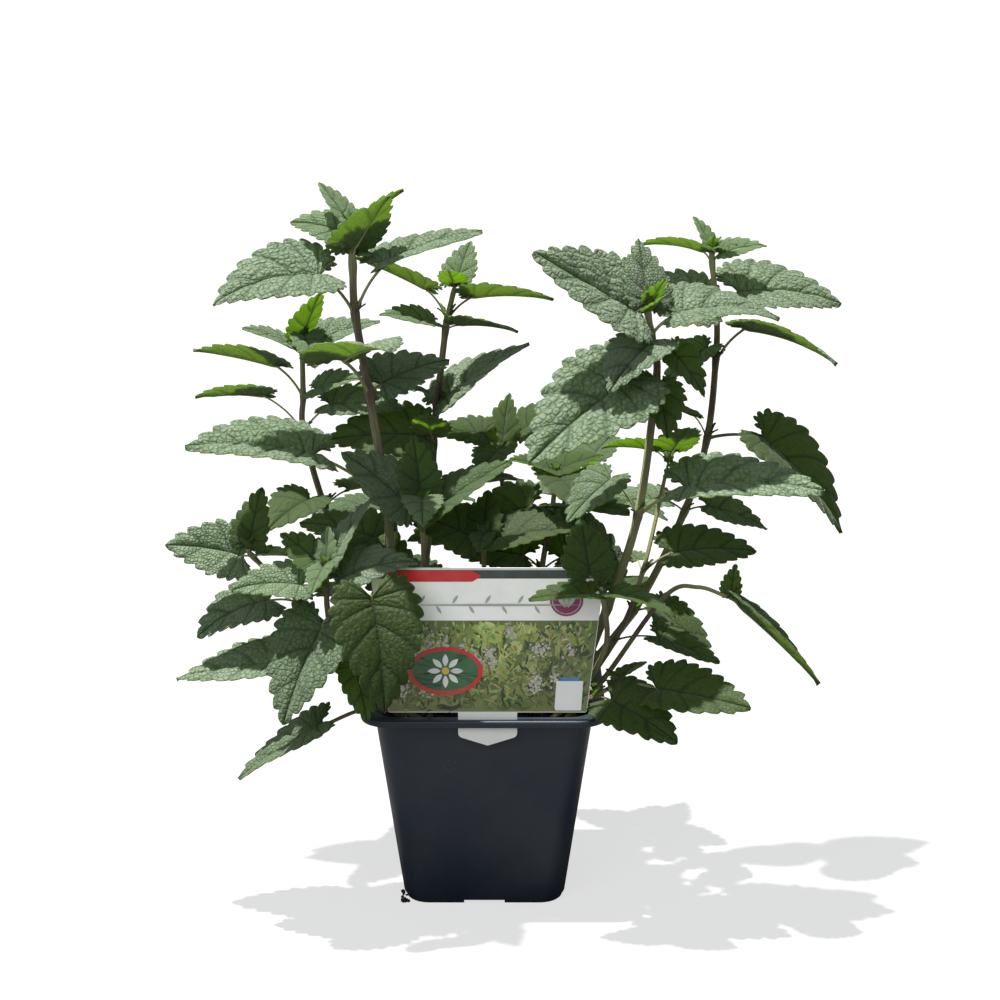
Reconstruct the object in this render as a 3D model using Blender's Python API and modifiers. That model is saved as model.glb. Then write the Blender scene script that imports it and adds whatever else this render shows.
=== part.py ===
"""Potted catnip: a square nursery pot filled with peat, a plant label in its rim and leafy square stems.

The origin is the middle of the pot's base, +Z is up and the label faces -Y. Sizes below are in
millimetres and angles in degrees; everything is turned into metres when a mesh is made.
"""
import math
from collections import namedtuple

import bmesh
import bpy
import numpy as np
from mathutils import Vector
from mathutils.bvhtree import BVHTree

MM = 0.001
GAP = 0.3                      # clearance between neighbouring pieces

# pot
POT_HEIGHT = 113.0
RIM_HALF = 65.0                # half the width across the rim's skirt
BASE_HALF = 42.2               # half the width just above the base
WALL = 1.0
FLANGE_HALF = 58.3             # half the width where the wall meets the flange
SKIRT_DROP = 3.8
FLOOR = 1.4
NOTCH_WIDTH, NOTCH_HEIGHT, NOTCH_DEPTH = 22.0, 2.2, 14.0
DRAIN_RADIUS, DRAIN_OFFSET = 4.5, 25.0
CORNER_STEPS = 4

# label
LABEL_Y = -61.5                # the card's middle plane, over the rim's flange
LABEL_X = 2.0
LABEL_THICK = 0.6
CARD_BOTTOM, CARD_TOP = 117.0, 196.0
CARD_HALF_BOTTOM, CARD_HALF_TOP = 52.0, 61.0
TONGUE_HALF = 15.5
TONGUE_LOW, TONGUE_POINT = 103.5, 98.5

# peat
SOIL_BOTTOM, SOIL_TOP = 4.2, 101.0
ROOT_DEPTH = 26.0              # how far a stem goes down into its hole

# leaf, as shares of the blade's length: along the midrib, and out from it
LEAF_OUTLINE = [(0.0, 0.018), (-0.03, 0.07), (-0.10, 0.13), (-0.13, 0.21), (-0.08, 0.31), (0.04, 0.38),
                (0.19, 0.395), (0.36, 0.36), (0.54, 0.285), (0.71, 0.20), (0.87, 0.105), (1.0, 0.0)]
TOOTH = 0.028                  # how far a tooth stands out of the outline, and a notch into it
MIDRIB_START = 0.14            # first midrib point ahead of the petiole, in shares
TOOTHLESS = 2.5                # outline points from the petiole to the first tooth
FOLD = 11.0                    # how far each half of a blade is folded up
BLADE_THICK = 0.8
# teeth on a side and steps along the midrib, for blades from this length up
LEAF_DETAIL = [(44.0, (5, 3)), (33.0, (4, 2)), (18.0, (3, 2)), (0.0, (2, 1))]
STEM_CORNER = 1.12             # a square stem's corner stands this much outside its round width
PETIOLE_SHARE, PETIOLE_THIN, PETIOLE_THICK = 0.032, 1.0, 2.0   # width as a share of the blade, and its limits
SESSILE = 6.0                  # a petiole shorter than this leaves the blade against its stem
FAR_JOINTS = 30.0              # joints further apart have a point of the stem between them

# what is tried on a leaf that would touch another: sizes, and turns of its pitch, azimuth and roll
SIZE_TRIES = (1.0, 0.8, 0.62)
PITCH_TRIES = (0, -7, 7, -14, 14, -22, 22, -32, 32)
AZIMUTH_TRIES = (0, -8, 8, -17, 17, -28, 28, -40, 40)
ROLL_TRIES = (0, -16, 16)

# A leaf: the way it points (0 is +X, 90 is away from the label), its petiole's length and rise, then
# its blade's length, pitch at the petiole, droop from there to the tip, roll about the midrib
# (positive lifts the side that is counter-clockwise) and the blade's turn away from the petiole.
Leaf = namedtuple("Leaf", "azimuth petiole rise blade pitch droop roll turn", defaults=(0.0, 0.0))
# A joint of a stem, with the leaves that grow there.
Joint = namedtuple("Joint", "x y z leaves", defaults=((),))
Shoot = namedtuple("Shoot", "name low_width top_width joints")

SHOOTS = [
    Shoot("shoot_left_tall", 6.0, 2.8, [
        Joint(-46, -20, 108),
        Joint(-49, -28, 168, [Leaf(95, 8, 50, 38, 46, 10)]),
        Joint(-50, -27, 194, [Leaf(164, 10, 50, 44, 14, 16, -24)]),
        Joint(-51, -26, 221, [Leaf(189, 46, 36, 68, 16, 20, -14)]),
        Joint(-60, -21, 279, [Leaf(236, 30, 45, 62, 26, 22, 0, 62), Leaf(35, 8, 30, 44, 20, 20, 25)]),
        Joint(-67, -17, 321, [Leaf(200, 27, 50, 60, 9, 42, -26), Leaf(18, 29, 58, 56, 22, 14, 3)]),
        Joint(-68, -15, 346, [Leaf(312, 9, 80, 42, 50, 8, -6), Leaf(105, 6, 60, 30, 30, 20)]),
        Joint(-69, -14, 360, [Leaf(176, 3, 40, 32, 12, 24, -34), Leaf(15, 3, 50, 34, 44, 8, -10)]),
        Joint(-69, -14, 367, [Leaf(165, 2, 60, 26, 46, 0, 14), Leaf(335, 2, 60, 12, 60, 0)]),
    ]),
    Shoot("shoot_left_back", 4.2, 2.2, [
        Joint(-44, 26, 108),
        Joint(-66, 24, 150, [Leaf(110, 16, 30, 40, 5, 25)]),
        Joint(-88, 28, 205, [Leaf(236, 14, 30, 40, -4, 22, -10), Leaf(25, 16, 30, 36, 5, 20)]),
        Joint(-99, 31, 247, [Leaf(185, 28, 44, 38, 9, 18, 24), Leaf(355, 20, 45, 42, 8, 22, 18)]),
        Joint(-99, 33, 266, [Leaf(176, 21, 50, 47, 15, 10, 22), Leaf(335, 8, 30, 30, 24, 15, 25)]),
        Joint(-99, 33, 290, [Leaf(198, 5, 30, 31, 30, 10, -12), Leaf(12, 8, 40, 38, 22, 12, 15)]),
        Joint(-99, 33, 298, [Leaf(318, 2, 80, 30, 70, 6), Leaf(262, 6, 10, 24, -48, 15)]),
    ]),
    Shoot("shoot_middle_back", 4.8, 2.4, [
        Joint(-16, 22, 108),
        Joint(-33, 20, 153, [Leaf(110, 14, 30, 42, 5, 25)]),
        Joint(-29, 26, 205, [Leaf(20, 18, 40, 40, 10, 25)]),
        Joint(-28, 28, 240, [Leaf(186, 8, 40, 52, 6, 16, -36), Leaf(266, 12, 40, 28, 38, 6)]),
        Joint(-26, 30, 261, [Leaf(14, 5, 30, 56, 38, 12, 4), Leaf(196, 16, 45, 34, 15, 20, -15)]),
        Joint(-21, 33, 303, [Leaf(205, 9, 28, 31, 20, 15, -16), Leaf(340, 8, 20, 34, 8, 22, -16)]),
        Joint(-20, 33, 309, [Leaf(180, 19, 56, 42, 28, 8, 20), Leaf(355, 17, 43, 45, 9, 20, -20)]),
        Joint(-16, 34, 326, [Leaf(65, 3, 50, 27, 52, 10), Leaf(262, 4, 40, 20, 34, 10)]),
    ]),
    Shoot("shoot_left_inner", 3.2, 2.0, [
        Joint(-29, -34, 109),
        Joint(-31, -37, 165, [Leaf(60, 8, 40, 34, 10, 20)]),
        Joint(-32, -41, 209, [Leaf(176, 16, 64, 45, 46, 14, -40), Leaf(8, 14, 60, 47, 38, 12, 28)]),
        Joint(-32, -40, 225, [Leaf(272, 5, 30, 28, -2, 22), Leaf(112, 5, 60, 31, 66, 10)]),
    ]),
    Shoot("shoot_left_low", 4.2, 2.2, [
        Joint(-46, -43, 110),
        Joint(-70, -58, 143, [Leaf(290, 8, 10, 32, -42, 18, -8), Leaf(195, 14, 5, 28, -8, 25, -20)]),
        Joint(-80, -63, 170, [Leaf(238, 6, -30, 57, -40, 22, -10), Leaf(320, 34, 30, 60, -62, 26, 8, -25)]),
        Joint(-81, -65, 186, [Leaf(186, 12, 9, 37, 12, 30, -28), Leaf(2, 8, 31, 42, 22, 34, 25)]),
        Joint(-81, -65, 193, [Leaf(34, 8, 60, 38, 56, 8, -10), Leaf(150, 8, 50, 26, 36, 15, -20)]),
        Joint(-81, -66, 198, [Leaf(280, 3, 10, 20, -20, 20), Leaf(80, 3, 70, 22, 72, 5)]),
    ]),
    Shoot("shoot_left_far", 3.6, 2.0, [
        Joint(-47, -9, 112),
        Joint(-64, -21, 132),
        Joint(-98, -25, 166, [Leaf(190, 16, 7, 44, -6, 40, -30), Leaf(12, 12, 20, 30, 0, 20)]),
        Joint(-122, -31, 193, [Leaf(177, 5, 6, 42, 16, 18, -55), Leaf(352, 4, 20, 24, 5, 15)]),
        Joint(-124, -32, 198, [Leaf(42, 3, 85, 30, 74, 8), Leaf(255, 2, 40, 12, 40, 0)]),
    ]),
    Shoot("shoot_left_ground", 3.0, 2.0, [
        Joint(-44, -34, 112),
        Joint(-55, -35, 124),
        Joint(-90, -36, 141, [Leaf(182, 18, -18, 57, -4, 9, -8), Leaf(262, 8, 10, 28, -35, 20)]),
        Joint(-96, -36, 150, [Leaf(100, 6, 30, 22, 10, 15), Leaf(215, 3, 40, 14, 20, 0)]),
    ]),
    Shoot("leaf_left_rim", 2.4, 1.8, [
        Joint(-36, -46, 109),
        Joint(-60, -55, 117),
        Joint(-83, -64, 111, [Leaf(186, 2, -20, 52, -30, 6, -4)]),
        Joint(-85, -64.3, 110.2),
    ]),
    Shoot("shoot_right_tall", 5.2, 2.8, [
        Joint(46.5, -20, 108),
        Joint(66, -24, 163, [Leaf(132, 14, 60, 50, 62, 8), Leaf(180, 22, 48, 40, 76, 6, 0, 70)]),
        Joint(81, -32, 216, [Leaf(350, 29, 32, 72, 12, 22, 12), Leaf(178, 24, 56, 36, -24, 18, -12, 40)]),
        Joint(89, -38, 288, [Leaf(217, 20, 10, 72, -22, 14, -26), Leaf(262, 4, 20, 34, -36, 20, 0)]),
        Joint(88, -40, 304, [Leaf(236, 8, 50, 43, -16, 20, -8), Leaf(330, 9, 20, 30, -40, 18)]),
        Joint(86, -42, 315, [Leaf(195, 14, 56, 64, 30, -2, -44), Leaf(14, 15, 38, 58, 12, 34, 14)]),
        Joint(84, -42, 326, [Leaf(75, 4, 60, 36, 52, 10), Leaf(262, 2, 60, 16, 50, 0)]),
        Joint(84, -42, 330, [Leaf(350, 2, 60, 16, 55, 0), Leaf(170, 2, 60, 16, 60, 0)]),
    ]),
    Shoot("shoot_right_back", 5.0, 2.6, [
        Joint(48, 4, 109),
        Joint(82, 11, 150, [Leaf(100, 16, 30, 38, 5, 25), Leaf(340, 14, 10, 40, -34, 12, 14)]),
        Joint(110, 25, 203, [Leaf(10, 12, 10, 38, -16, 15, 20), Leaf(190, 14, 30, 34, 5, 20, -15)]),
        Joint(122, 31, 243, [Leaf(342, 30, 4, 68, -34, 28, 12), Leaf(172, 14, 60, 30, 24, 30, 12)]),
        Joint(126, 34, 286, [Leaf(346, 23, 50, 54, -4, 30, -12), Leaf(205, 8, 60, 33, -22, 20, -10)]),
        Joint(126, 35, 311, [Leaf(12, 16, 44, 60, 6, 30, 26), Leaf(192, 8, 40, 50, 14, 20, -38)]),
        Joint(123, 36, 339, [Leaf(176, 7, 54, 36, 20, 30, 14), Leaf(8, 6, 50, 26, 18, 20, 18)]),
        Joint(123, 36, 346, [Leaf(140, 2, 60, 19, 58, 12), Leaf(330, 2, 50, 14, 40, 10)]),
    ]),
    Shoot("shoot_right_corner", 3.6, 2.2, [
        Joint(45, -43, 109),
        Joint(61, -54, 143),
        Joint(64, -67, 162),
        Joint(61, -78, 186, [Leaf(186, 4, 10, 34, 3, 12, -6), Leaf(334, 5, 10, 36, 0, 22, 12)]),
        Joint(61, -78, 191, [Leaf(180, 8, 40, 35, 46, 8, 0, -80)]),
    ]),
    Shoot("shoot_right_mid", 3.4, 2.0, [
        Joint(47, -29, 110),
        Joint(70, -34, 148, [Leaf(346, 22, 8, 36, -14, 10, 10)]),
        Joint(84, -30, 184, [Leaf(5, 18, 35, 46, 10, 22, 25), Leaf(150, 8, 40, 24, 12, 20, -10)]),
        Joint(98, -12, 240, [Leaf(284, 8, 60, 36, 36, 8), Leaf(172, 10, 40, 28, 10, 20, 10)]),
    ]),
    Shoot("shoot_right_trailing", 3.0, 1.8, [
        Joint(48, -36, 113),
        Joint(63, -39, 127, [Leaf(345, 12, -8, 24, -12, 10)]),
        Joint(95, -44, 175),
        Joint(112, -50, 182),
        Joint(128, -56, 178, [Leaf(336, 6, -35, 58, -36, 8, -22), Leaf(60, 2, 60, 16, 70, 0)]),
    ]),
    Shoot("shoot_right_low", 3.0, 2.0, [
        Joint(38, -47, 110),
        Joint(58, -51, 122, [Leaf(318, 10, 0, 44, -14, 14, 14), Leaf(100, 8, 30, 22, 5, 20)]),
        Joint(70, -48, 128, [Leaf(350, 22, 2, 54, 2, 10, 20), Leaf(60, 6, 30, 22, 15, 20)]),
    ]),
    Shoot("shoot_middle_front", 3.2, 2.0, [
        Joint(0, -22, 109),
        Joint(0, -26, 165, [Leaf(80, 10, 40, 34, 5, 20)]),
        Joint(0, -27, 196, [Leaf(172, 9, 45, 42, 26, 12, -36), Leaf(350, 9, 45, 46, 16, 15, 32)]),
        Joint(0, -27, 203, [Leaf(262, 2, 50, 18, -6, 20), Leaf(100, 3, 50, 24, 50, 10)]),
    ]),
    Shoot("shoot_middle_right", 3.6, 2.0, [
        Joint(24, -6, 109),
        Joint(31, -6, 178, [Leaf(20, 12, 30, 42, 5, 20, 25), Leaf(168, 12, 40, 40, 10, 20, -30)]),
        Joint(36, -4, 207, [Leaf(188, 12, 40, 44, 4, 16, -30), Leaf(355, 14, 40, 46, 12, 15, 20)]),
        Joint(38, -3, 226, [Leaf(288, 8, 40, 38, -14, 20), Leaf(100, 8, 50, 32, 40, 15)]),
        Joint(38, -3, 231, [Leaf(190, 4, 50, 26, 30, 10), Leaf(10, 4, 50, 24, 35, 10)]),
    ]),
    Shoot("shoot_back_middle", 3.6, 2.0, [
        Joint(14, 36, 109),
        Joint(12, 46, 180, [Leaf(190, 14, 30, 44, 4, 20, -30), Leaf(0, 14, 30, 42, 4, 20, 30)]),
        Joint(9, 52, 222, [Leaf(176, 20, 64, 30, 10, 25, -30), Leaf(16, 21, 60, 32, 38, 10, 20)]),
        Joint(9, 52, 229, [Leaf(100, 5, 50, 30, 40, 15), Leaf(250, 6, 30, 30, -14, 20, 0)]),
    ]),
    Shoot("shoot_back_right", 3.6, 2.0, [
        Joint(38, 36, 110),
        Joint(48, 56, 150, [Leaf(60, 16, 25, 43, -5, 30)]),
        Joint(56, 70, 190, [Leaf(330, 14, 35, 42, 5, 25), Leaf(150, 14, 35, 42, 5, 25)]),
        Joint(58, 74, 212, [Leaf(65, 10, 50, 34, 20, 20), Leaf(245, 8, 50, 24, 30, 10)]),
    ]),
    Shoot("shoot_back_left", 3.6, 2.0, [
        Joint(-36, 38, 110),
        Joint(-46, 62, 145, [Leaf(120, 16, 25, 43, -5, 30)]),
        Joint(-52, 78, 185, [Leaf(30, 14, 35, 42, 5, 25), Leaf(210, 14, 35, 44, 5, 25)]),
        Joint(-54, 82, 208, [Leaf(118, 10, 50, 34, 20, 20), Leaf(300, 8, 50, 26, 30, 10)]),
    ]),
]

# materials: colour, roughness
LEAF_GREEN = ((0.115, 0.205, 0.090), 0.62)
POT_BLUE_BLACK = ((0.022, 0.028, 0.038), 0.42)
PEAT_BROWN = ((0.030, 0.020, 0.014), 0.95)
CARD_WHITE = ((0.620, 0.620, 0.600), 0.45)

UP = np.array([0.0, 0.0, 1.0])


def directions(azimuth):
    """The level direction of an azimuth and the one a quarter turn counter-clockwise from it."""
    angle = math.radians(azimuth)
    return (np.array([math.cos(angle), math.sin(angle), 0.0]),
            np.array([-math.sin(angle), math.cos(angle), 0.0]))


def spline(points, samples):
    """Catmull-Rom curve through the points, read at samples counted in whole points."""
    points = np.asarray(points, float)
    ends = np.vstack([2 * points[0] - points[1], points, 2 * points[-1] - points[-2]])
    index = np.clip(np.floor(samples).astype(int), 0, len(points) - 2)
    t = (np.asarray(samples) - index)[:, None]
    a, b, c, d = (ends[index + k] for k in range(4))
    return 0.5 * (2 * b + (c - a) * t + (2 * a - 5 * b + 4 * c - d) * t ** 2
                  + (3 * b - a - 3 * c + d) * t ** 3)


def on_blade(leaf, root, along, out):
    """Points of a blade: its midrib is an arc that droops, its halves are folded up a little."""
    ahead, side = directions(leaf.azimuth + leaf.turn)
    pitch, droop = math.radians(leaf.pitch), math.radians(leaf.droop) + 1e-6
    roll, fold = math.radians(leaf.roll), math.radians(FOLD)
    arc, straight = np.maximum(along, 0.0), np.minimum(along, 0.0)
    angle = pitch - droop * arc
    forward = (math.sin(pitch) - np.sin(angle)) / droop + straight * math.cos(pitch)
    rise = (np.cos(angle) - math.cos(pitch)) / droop + straight * math.sin(pitch)
    normal = np.outer(-np.sin(angle), ahead) + np.outer(np.cos(angle), UP)
    across = math.cos(roll) * side + math.sin(roll) * normal
    above = math.cos(roll) * normal - math.sin(roll) * side
    width = out[:, None] * math.cos(fold) * across + np.abs(out)[:, None] * math.sin(fold) * above
    return root + leaf.blade * (np.outer(forward, ahead) + np.outer(rise, UP) + width)


def petiole_axis(leaf, start):
    """Centre line of a petiole: steep at the stem, then arching over to its blade."""
    ahead, _ = directions(leaf.azimuth)
    rise, steep = math.radians(leaf.rise), math.radians(min(leaf.rise + 14.0, 88.0))
    bend = start + 0.55 * leaf.petiole * (math.cos(steep) * ahead + math.sin(steep) * UP)
    root = start + leaf.petiole * (math.cos(rise) * ahead + math.sin(rise) * UP)
    steps = 3 if leaf.petiole > 18 else 2 if leaf.petiole > 7 else 1     # a long petiole bends in more places
    t = np.linspace(0.0, 1.0, steps + 1)[:, None]
    return (1 - t) ** 2 * start + 2 * t * (1 - t) * bend + t ** 2 * root


def petiole_width(leaf):
    return min(max(PETIOLE_SHARE * leaf.blade, PETIOLE_THIN), PETIOLE_THICK)


def toothed_outline(teeth):
    """One side of a blade's edge from petiole to tip: notches and rounded teeth in turn."""
    last = len(LEAF_OUTLINE) - 1
    samples = np.linspace(0.0, last, 2 * teeth + 1)
    edge = spline(LEAF_OUTLINE, samples)
    along = spline(LEAF_OUTLINE, np.clip(samples + 0.05, 0, last)) - spline(
        LEAF_OUTLINE, np.clip(samples - 0.05, 0, last))
    outward = np.stack([-along[:, 1], along[:, 0]], 1) / np.linalg.norm(along, axis=1)[:, None]
    sway = np.where(np.arange(len(samples)) % 2 == 1, TOOTH, -TOOTH)
    sway *= np.clip(samples - TOOTHLESS, 0.0, 1.0)
    sway[-1] = 0.0
    return edge + outward * sway[:, None]


def blade_surface(leaf, root):
    """Points and triangles of an open blade, zipped between its midrib and its toothed edges.

    Also gives the two points where the petiole meets the edges.
    """
    teeth, ribs = next(detail for size, detail in LEAF_DETAIL if leaf.blade >= size)
    edge = toothed_outline(teeth)[:-1]
    midrib = np.linspace(MIDRIB_START, 1.0, ribs + 1)
    points = np.vstack([on_blade(leaf, root, midrib, np.zeros(ribs + 1)),
                        on_blade(leaf, root, edge[:, 0], edge[:, 1]),
                        on_blade(leaf, root, edge[:, 0], -edge[:, 1])])
    left, right = ribs + 1, ribs + 1 + len(edge)
    faces = []
    for base, flip in ((left, False), (right, True)):
        border = list(range(base, base + len(edge))) + [ribs]
        reach = list(edge[1:, 0]) + [1.0]
        i = j = 0
        while i < ribs or j < len(reach):
            if j == len(reach) or (i < ribs and midrib[i + 1] < reach[j]):
                face, i = (i, i + 1, border[j]), i + 1
            else:
                face, j = (i, border[j + 1], border[j]), j + 1
            if len(set(face)) == 3:
                faces.append(face[::-1] if flip else face)
    return points, faces, (left, right)


def leaf_surface(leaf, start):
    """Points and triangles of an open leaf on the narrow strip of its petiole, and that strip's points."""
    stalk = petiole_axis(leaf, start)
    points, faces, (left, right) = blade_surface(leaf, stalk[-1])
    strip = []
    for k, place in enumerate(stalk[:-1]):
        share = k / (len(stalk) - 1)
        _, side = directions(leaf.azimuth + leaf.turn * share)
        roll = math.radians(leaf.roll * share)
        across = petiole_width(leaf) / 2 * (math.cos(roll) * side + math.sin(roll) * UP)
        strip += [place + across, place - across]
    count = len(strip)
    faces = [tuple(k + count for k in face) for face in faces]
    for a in range(0, count - 2, 2):
        faces += [(a, a + 1, a + 3), (a, a + 3, a + 2)]
    end, left, right = count - 2, left + count, right + count
    faces += [(end, end + 1, right), (end, right, left), (left, right, count)]
    return np.vstack([strip, points]), faces, count


def surface_normals(points, faces):
    """Unit normals at the points of a triangle mesh."""
    faces = np.array(faces)
    corners = points[faces]
    flat = np.cross(corners[:, 1] - corners[:, 0], corners[:, 2] - corners[:, 0])
    normals = np.zeros_like(points)
    for k in range(3):
        np.add.at(normals, faces[:, k], flat)
    return normals / np.maximum(np.linalg.norm(normals, axis=1), 1e-9)[:, None]


def search_tree(points, faces):
    return BVHTree.FromPolygons([tuple(p) for p in points], faces)


def blade_tree(leaf, root, thickness):
    """Search tree of a blade of the given thickness, for the clearance tests."""
    points, faces, _ = blade_surface(leaf, root)
    offset = surface_normals(points, faces) * thickness * 0.5
    count = len(points)
    edges = {(face[k], face[(k + 1) % 3]) for face in faces for k in range(3)}
    rim = [(a, b) for a, b in edges if (b, a) not in edges]
    sheets = faces + [tuple(k + count for k in face) for face in faces]
    sheets += [(b, a, a + count) for a, b in rim] + [(b, a + count, b + count) for a, b in rim]
    return search_tree(np.vstack([points + offset, points - offset]), sheets)


def rod_tree(axis, reach):
    """Search tree of a square rod along its centre line, reach out to each corner."""
    tangent = np.gradient(axis, axis=0)
    lean = axis[-1] - axis[0]
    side = np.cross(UP, lean if abs(lean[0]) + abs(lean[1]) > 0.1 else (1.0, 0.0, 0.0))
    side = side / np.linalg.norm(side)
    other = np.cross(tangent, side)
    other /= np.linalg.norm(other, axis=1)[:, None]
    spread = np.broadcast_to(reach, len(axis))[:, None]
    points = np.stack([axis + spread * d for d in (side, other, -side, -other)], 1).reshape(-1, 3)
    faces = []
    for i in range(len(axis) - 1):
        for k in range(4):
            a, b = 4 * i + k, 4 * i + (k + 1) % 4
            faces += [(a, b, b + 4), (a, b + 4, a + 4)]
    return search_tree(points, faces)


def stem_axis(shoot):
    """Stem's centre line from the bottom of its hole, with a point between joints that are far apart."""
    first = shoot.joints[0]
    foot = [(first.x, first.y, SOIL_TOP - ROOT_DEPTH), (first.x, first.y, SOIL_TOP + 2.5)]
    route = np.array(foot + [(j.x, j.y, j.z) for j in shoot.joints])
    samples = [1.0]
    for k in range(1, len(route) - 1):
        far = np.linalg.norm(route[k + 1] - route[k]) > FAR_JOINTS
        samples += [k + 0.5, k + 1.0] if far else [k + 1.0]
    return np.vstack([route[:1], spline(route, np.array(samples))])


def stem_reach(shoot, count):
    """Distance from a stem's centre line to its corners, along it."""
    return np.linspace(shoot.low_width, shoot.top_width, count) / 2 * STEM_CORNER


def leaf_start(joint, leaf, shoot):
    """Where a petiole begins, a little off the stem's centre line."""
    ahead, _ = directions(leaf.azimuth)
    return np.array([joint.x, joint.y, joint.z]) + 0.2 * shoot.top_width * ahead


def clear_leaves():
    """Every leaf turned by small steps, in a fixed order, until it clears what stands before it."""
    fixed = [search_tree(*shape()) for shape in (pot_shell, card_slab, peat_block)]
    stems = {}
    for shoot in SHOOTS:
        axis = stem_axis(shoot)
        stems[shoot.name] = rod_tree(axis, stem_reach(shoot, len(axis)) + GAP)
    turns = sorted((abs(p) + 1.3 * abs(a) + 0.5 * abs(r), p, a, r)
                   for p in PITCH_TRIES for a in AZIMUTH_TRIES for r in ROLL_TRIES)
    tries = [(size, p, a, r) for size in SIZE_TRIES for _, p, a, r in turns]
    placed, grown = [], []
    for shoot in SHOOTS:
        others = [tree for name, tree in stems.items() if name != shoot.name] + fixed
        own = []
        for joint in shoot.joints:
            for leaf in joint.leaves:
                start = leaf_start(joint, leaf, shoot)
                for size, pitch, azimuth, roll in tries:
                    tried = leaf._replace(blade=leaf.blade * size, pitch=leaf.pitch + pitch,
                                          azimuth=leaf.azimuth + azimuth, roll=leaf.roll + roll,
                                          rise=leaf.rise + 0.3 * pitch)
                    stalk = petiole_axis(tried, start)
                    half = petiole_width(tried) / 2 * STEM_CORNER
                    trees = (blade_tree(tried, stalk[-1], BLADE_THICK + 2 * GAP),
                             rod_tree(stalk, half + GAP))
                    stem = [stems[shoot.name]] if leaf.petiole > SESSILE else []
                    if not (any(tree.overlap(other) for tree in trees for other in others + grown)
                            or any(trees[0].overlap(other) for other in own + stem)):
                        break
                else:
                    print("no clear place:", shoot.name, leaf)
                own += [blade_tree(tried, stalk[-1], BLADE_THICK), rod_tree(stalk, half)]
                placed.append((shoot.name, start, tried))
        grown += own
    return placed


def make_material(name, look):
    colour, roughness = look
    material = bpy.data.materials.new(name)
    material.use_nodes = True
    shader = material.node_tree.nodes["Principled BSDF"]
    shader.inputs["Base Color"].default_value = (*colour, 1.0)
    shader.inputs["Roughness"].default_value = roughness
    material.diffuse_color = (*colour, 1.0)
    return material


def add_object(name, points, faces, collection, material=None):
    """Mesh object from points in millimetres."""
    mesh = bpy.data.meshes.new(name)
    mesh.from_pydata([tuple(p) for p in np.asarray(points, float) * MM], [], faces)
    item = bpy.data.objects.new(name, mesh)
    collection.objects.link(item)
    if material:
        mesh.materials.append(material)
    return item


def add_cutter(item):
    item.hide_render = True
    item.display_type = "WIRE"
    return item


def cut(item, cutters, operation="DIFFERENCE"):
    """Boolean with a whole collection."""
    modifier = item.modifiers.new("cut" if operation == "DIFFERENCE" else "join", "BOOLEAN")
    modifier.operation = operation
    modifier.operand_type = "COLLECTION"
    modifier.collection = cutters
    modifier.solver = "EXACT"
    return modifier


def apply_modifiers(item):
    """Keep the evaluated mesh and drop the modifiers."""
    graph = bpy.context.evaluated_depsgraph_get()
    mesh = bpy.data.meshes.new_from_object(item.evaluated_get(graph))
    item.modifiers.clear()
    item.data = mesh


def new_collection(name, parent=None):
    collection = bpy.data.collections.new(name)
    (parent or bpy.context.scene.collection).children.link(collection)
    return collection


def rounded_square(half, corner, height):
    """Ring of points round a square with round corners, counter-clockwise."""
    ring = []
    for k in range(4):
        middle = math.radians(45 + 90 * k)
        centre = (half - corner) * math.sqrt(2)
        for step in range(CORNER_STEPS + 1):
            angle = middle + math.radians(-45 + 90 * step / CORNER_STEPS)
            ring.append((centre * math.cos(middle) + corner * math.cos(angle),
                         centre * math.sin(middle) + corner * math.sin(angle), height))
    return ring


def lofted(rings):
    """Points and faces of a loft through rings of equal length, closed at both ends."""
    count = len(rings[0])
    points = [p for ring in rings for p in ring]
    faces = [tuple(reversed(range(count)))]
    for i in range(len(rings) - 1):
        for k in range(count):
            a, b = i * count + k, i * count + (k + 1) % count
            faces.append((a, b, b + count, a + count))
    faces.append(tuple(range(len(points) - count, len(points))))
    return points, faces


def box(name, centre, size, collection):
    bpy.ops.mesh.primitive_cube_add(size=1.0, location=Vector(centre) * MM)
    item = bpy.context.object
    item.name = name
    item.scale = Vector(size) * MM
    bpy.ops.object.transform_apply(location=False, rotation=False, scale=True)
    for old in item.users_collection:
        old.objects.unlink(item)
    collection.objects.link(item)
    return item


def peg(name, x, y, low, high, radius, collection, sides=12):
    """Upright cylinder."""
    bpy.ops.mesh.primitive_cylinder_add(vertices=sides, radius=radius * MM, depth=(high - low) * MM,
                                        location=(x * MM, y * MM, (low + high) / 2 * MM))
    item = bpy.context.object
    item.name = name
    for old in item.users_collection:
        old.objects.unlink(item)
    collection.objects.link(item)
    return item


def pot_shell():
    """Points and faces of the pot before anything is cut: wall, floor and flanged rim with a skirt."""
    inner = FLANGE_HALF - WALL
    profile = [(BASE_HALF - 2.7, 10.5, 0.0), (BASE_HALF, 12.0, 0.9), (BASE_HALF + 1.6, 12.5, 4.5),
               (FLANGE_HALF, 14.0, POT_HEIGHT - 1.2), (RIM_HALF - 1.2, 15.0, POT_HEIGHT - 1.2),
               (RIM_HALF - 1.2, 15.0, POT_HEIGHT - SKIRT_DROP), (RIM_HALF, 16.0, POT_HEIGHT - SKIRT_DROP),
               (RIM_HALF, 16.0, POT_HEIGHT - 0.6), (RIM_HALF - 0.6, 15.5, POT_HEIGHT),
               (inner + 0.7, 13.7, POT_HEIGHT), (inner, 13.2, POT_HEIGHT - 0.6),
               (BASE_HALF + 0.6, 11.7, 4.9), (BASE_HALF - 0.8, 11.2, 1.8), (BASE_HALF - 3.2, 10.0, FLOOR)]
    return lofted([rounded_square(half, corner, z) for half, corner, z in profile])


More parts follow.
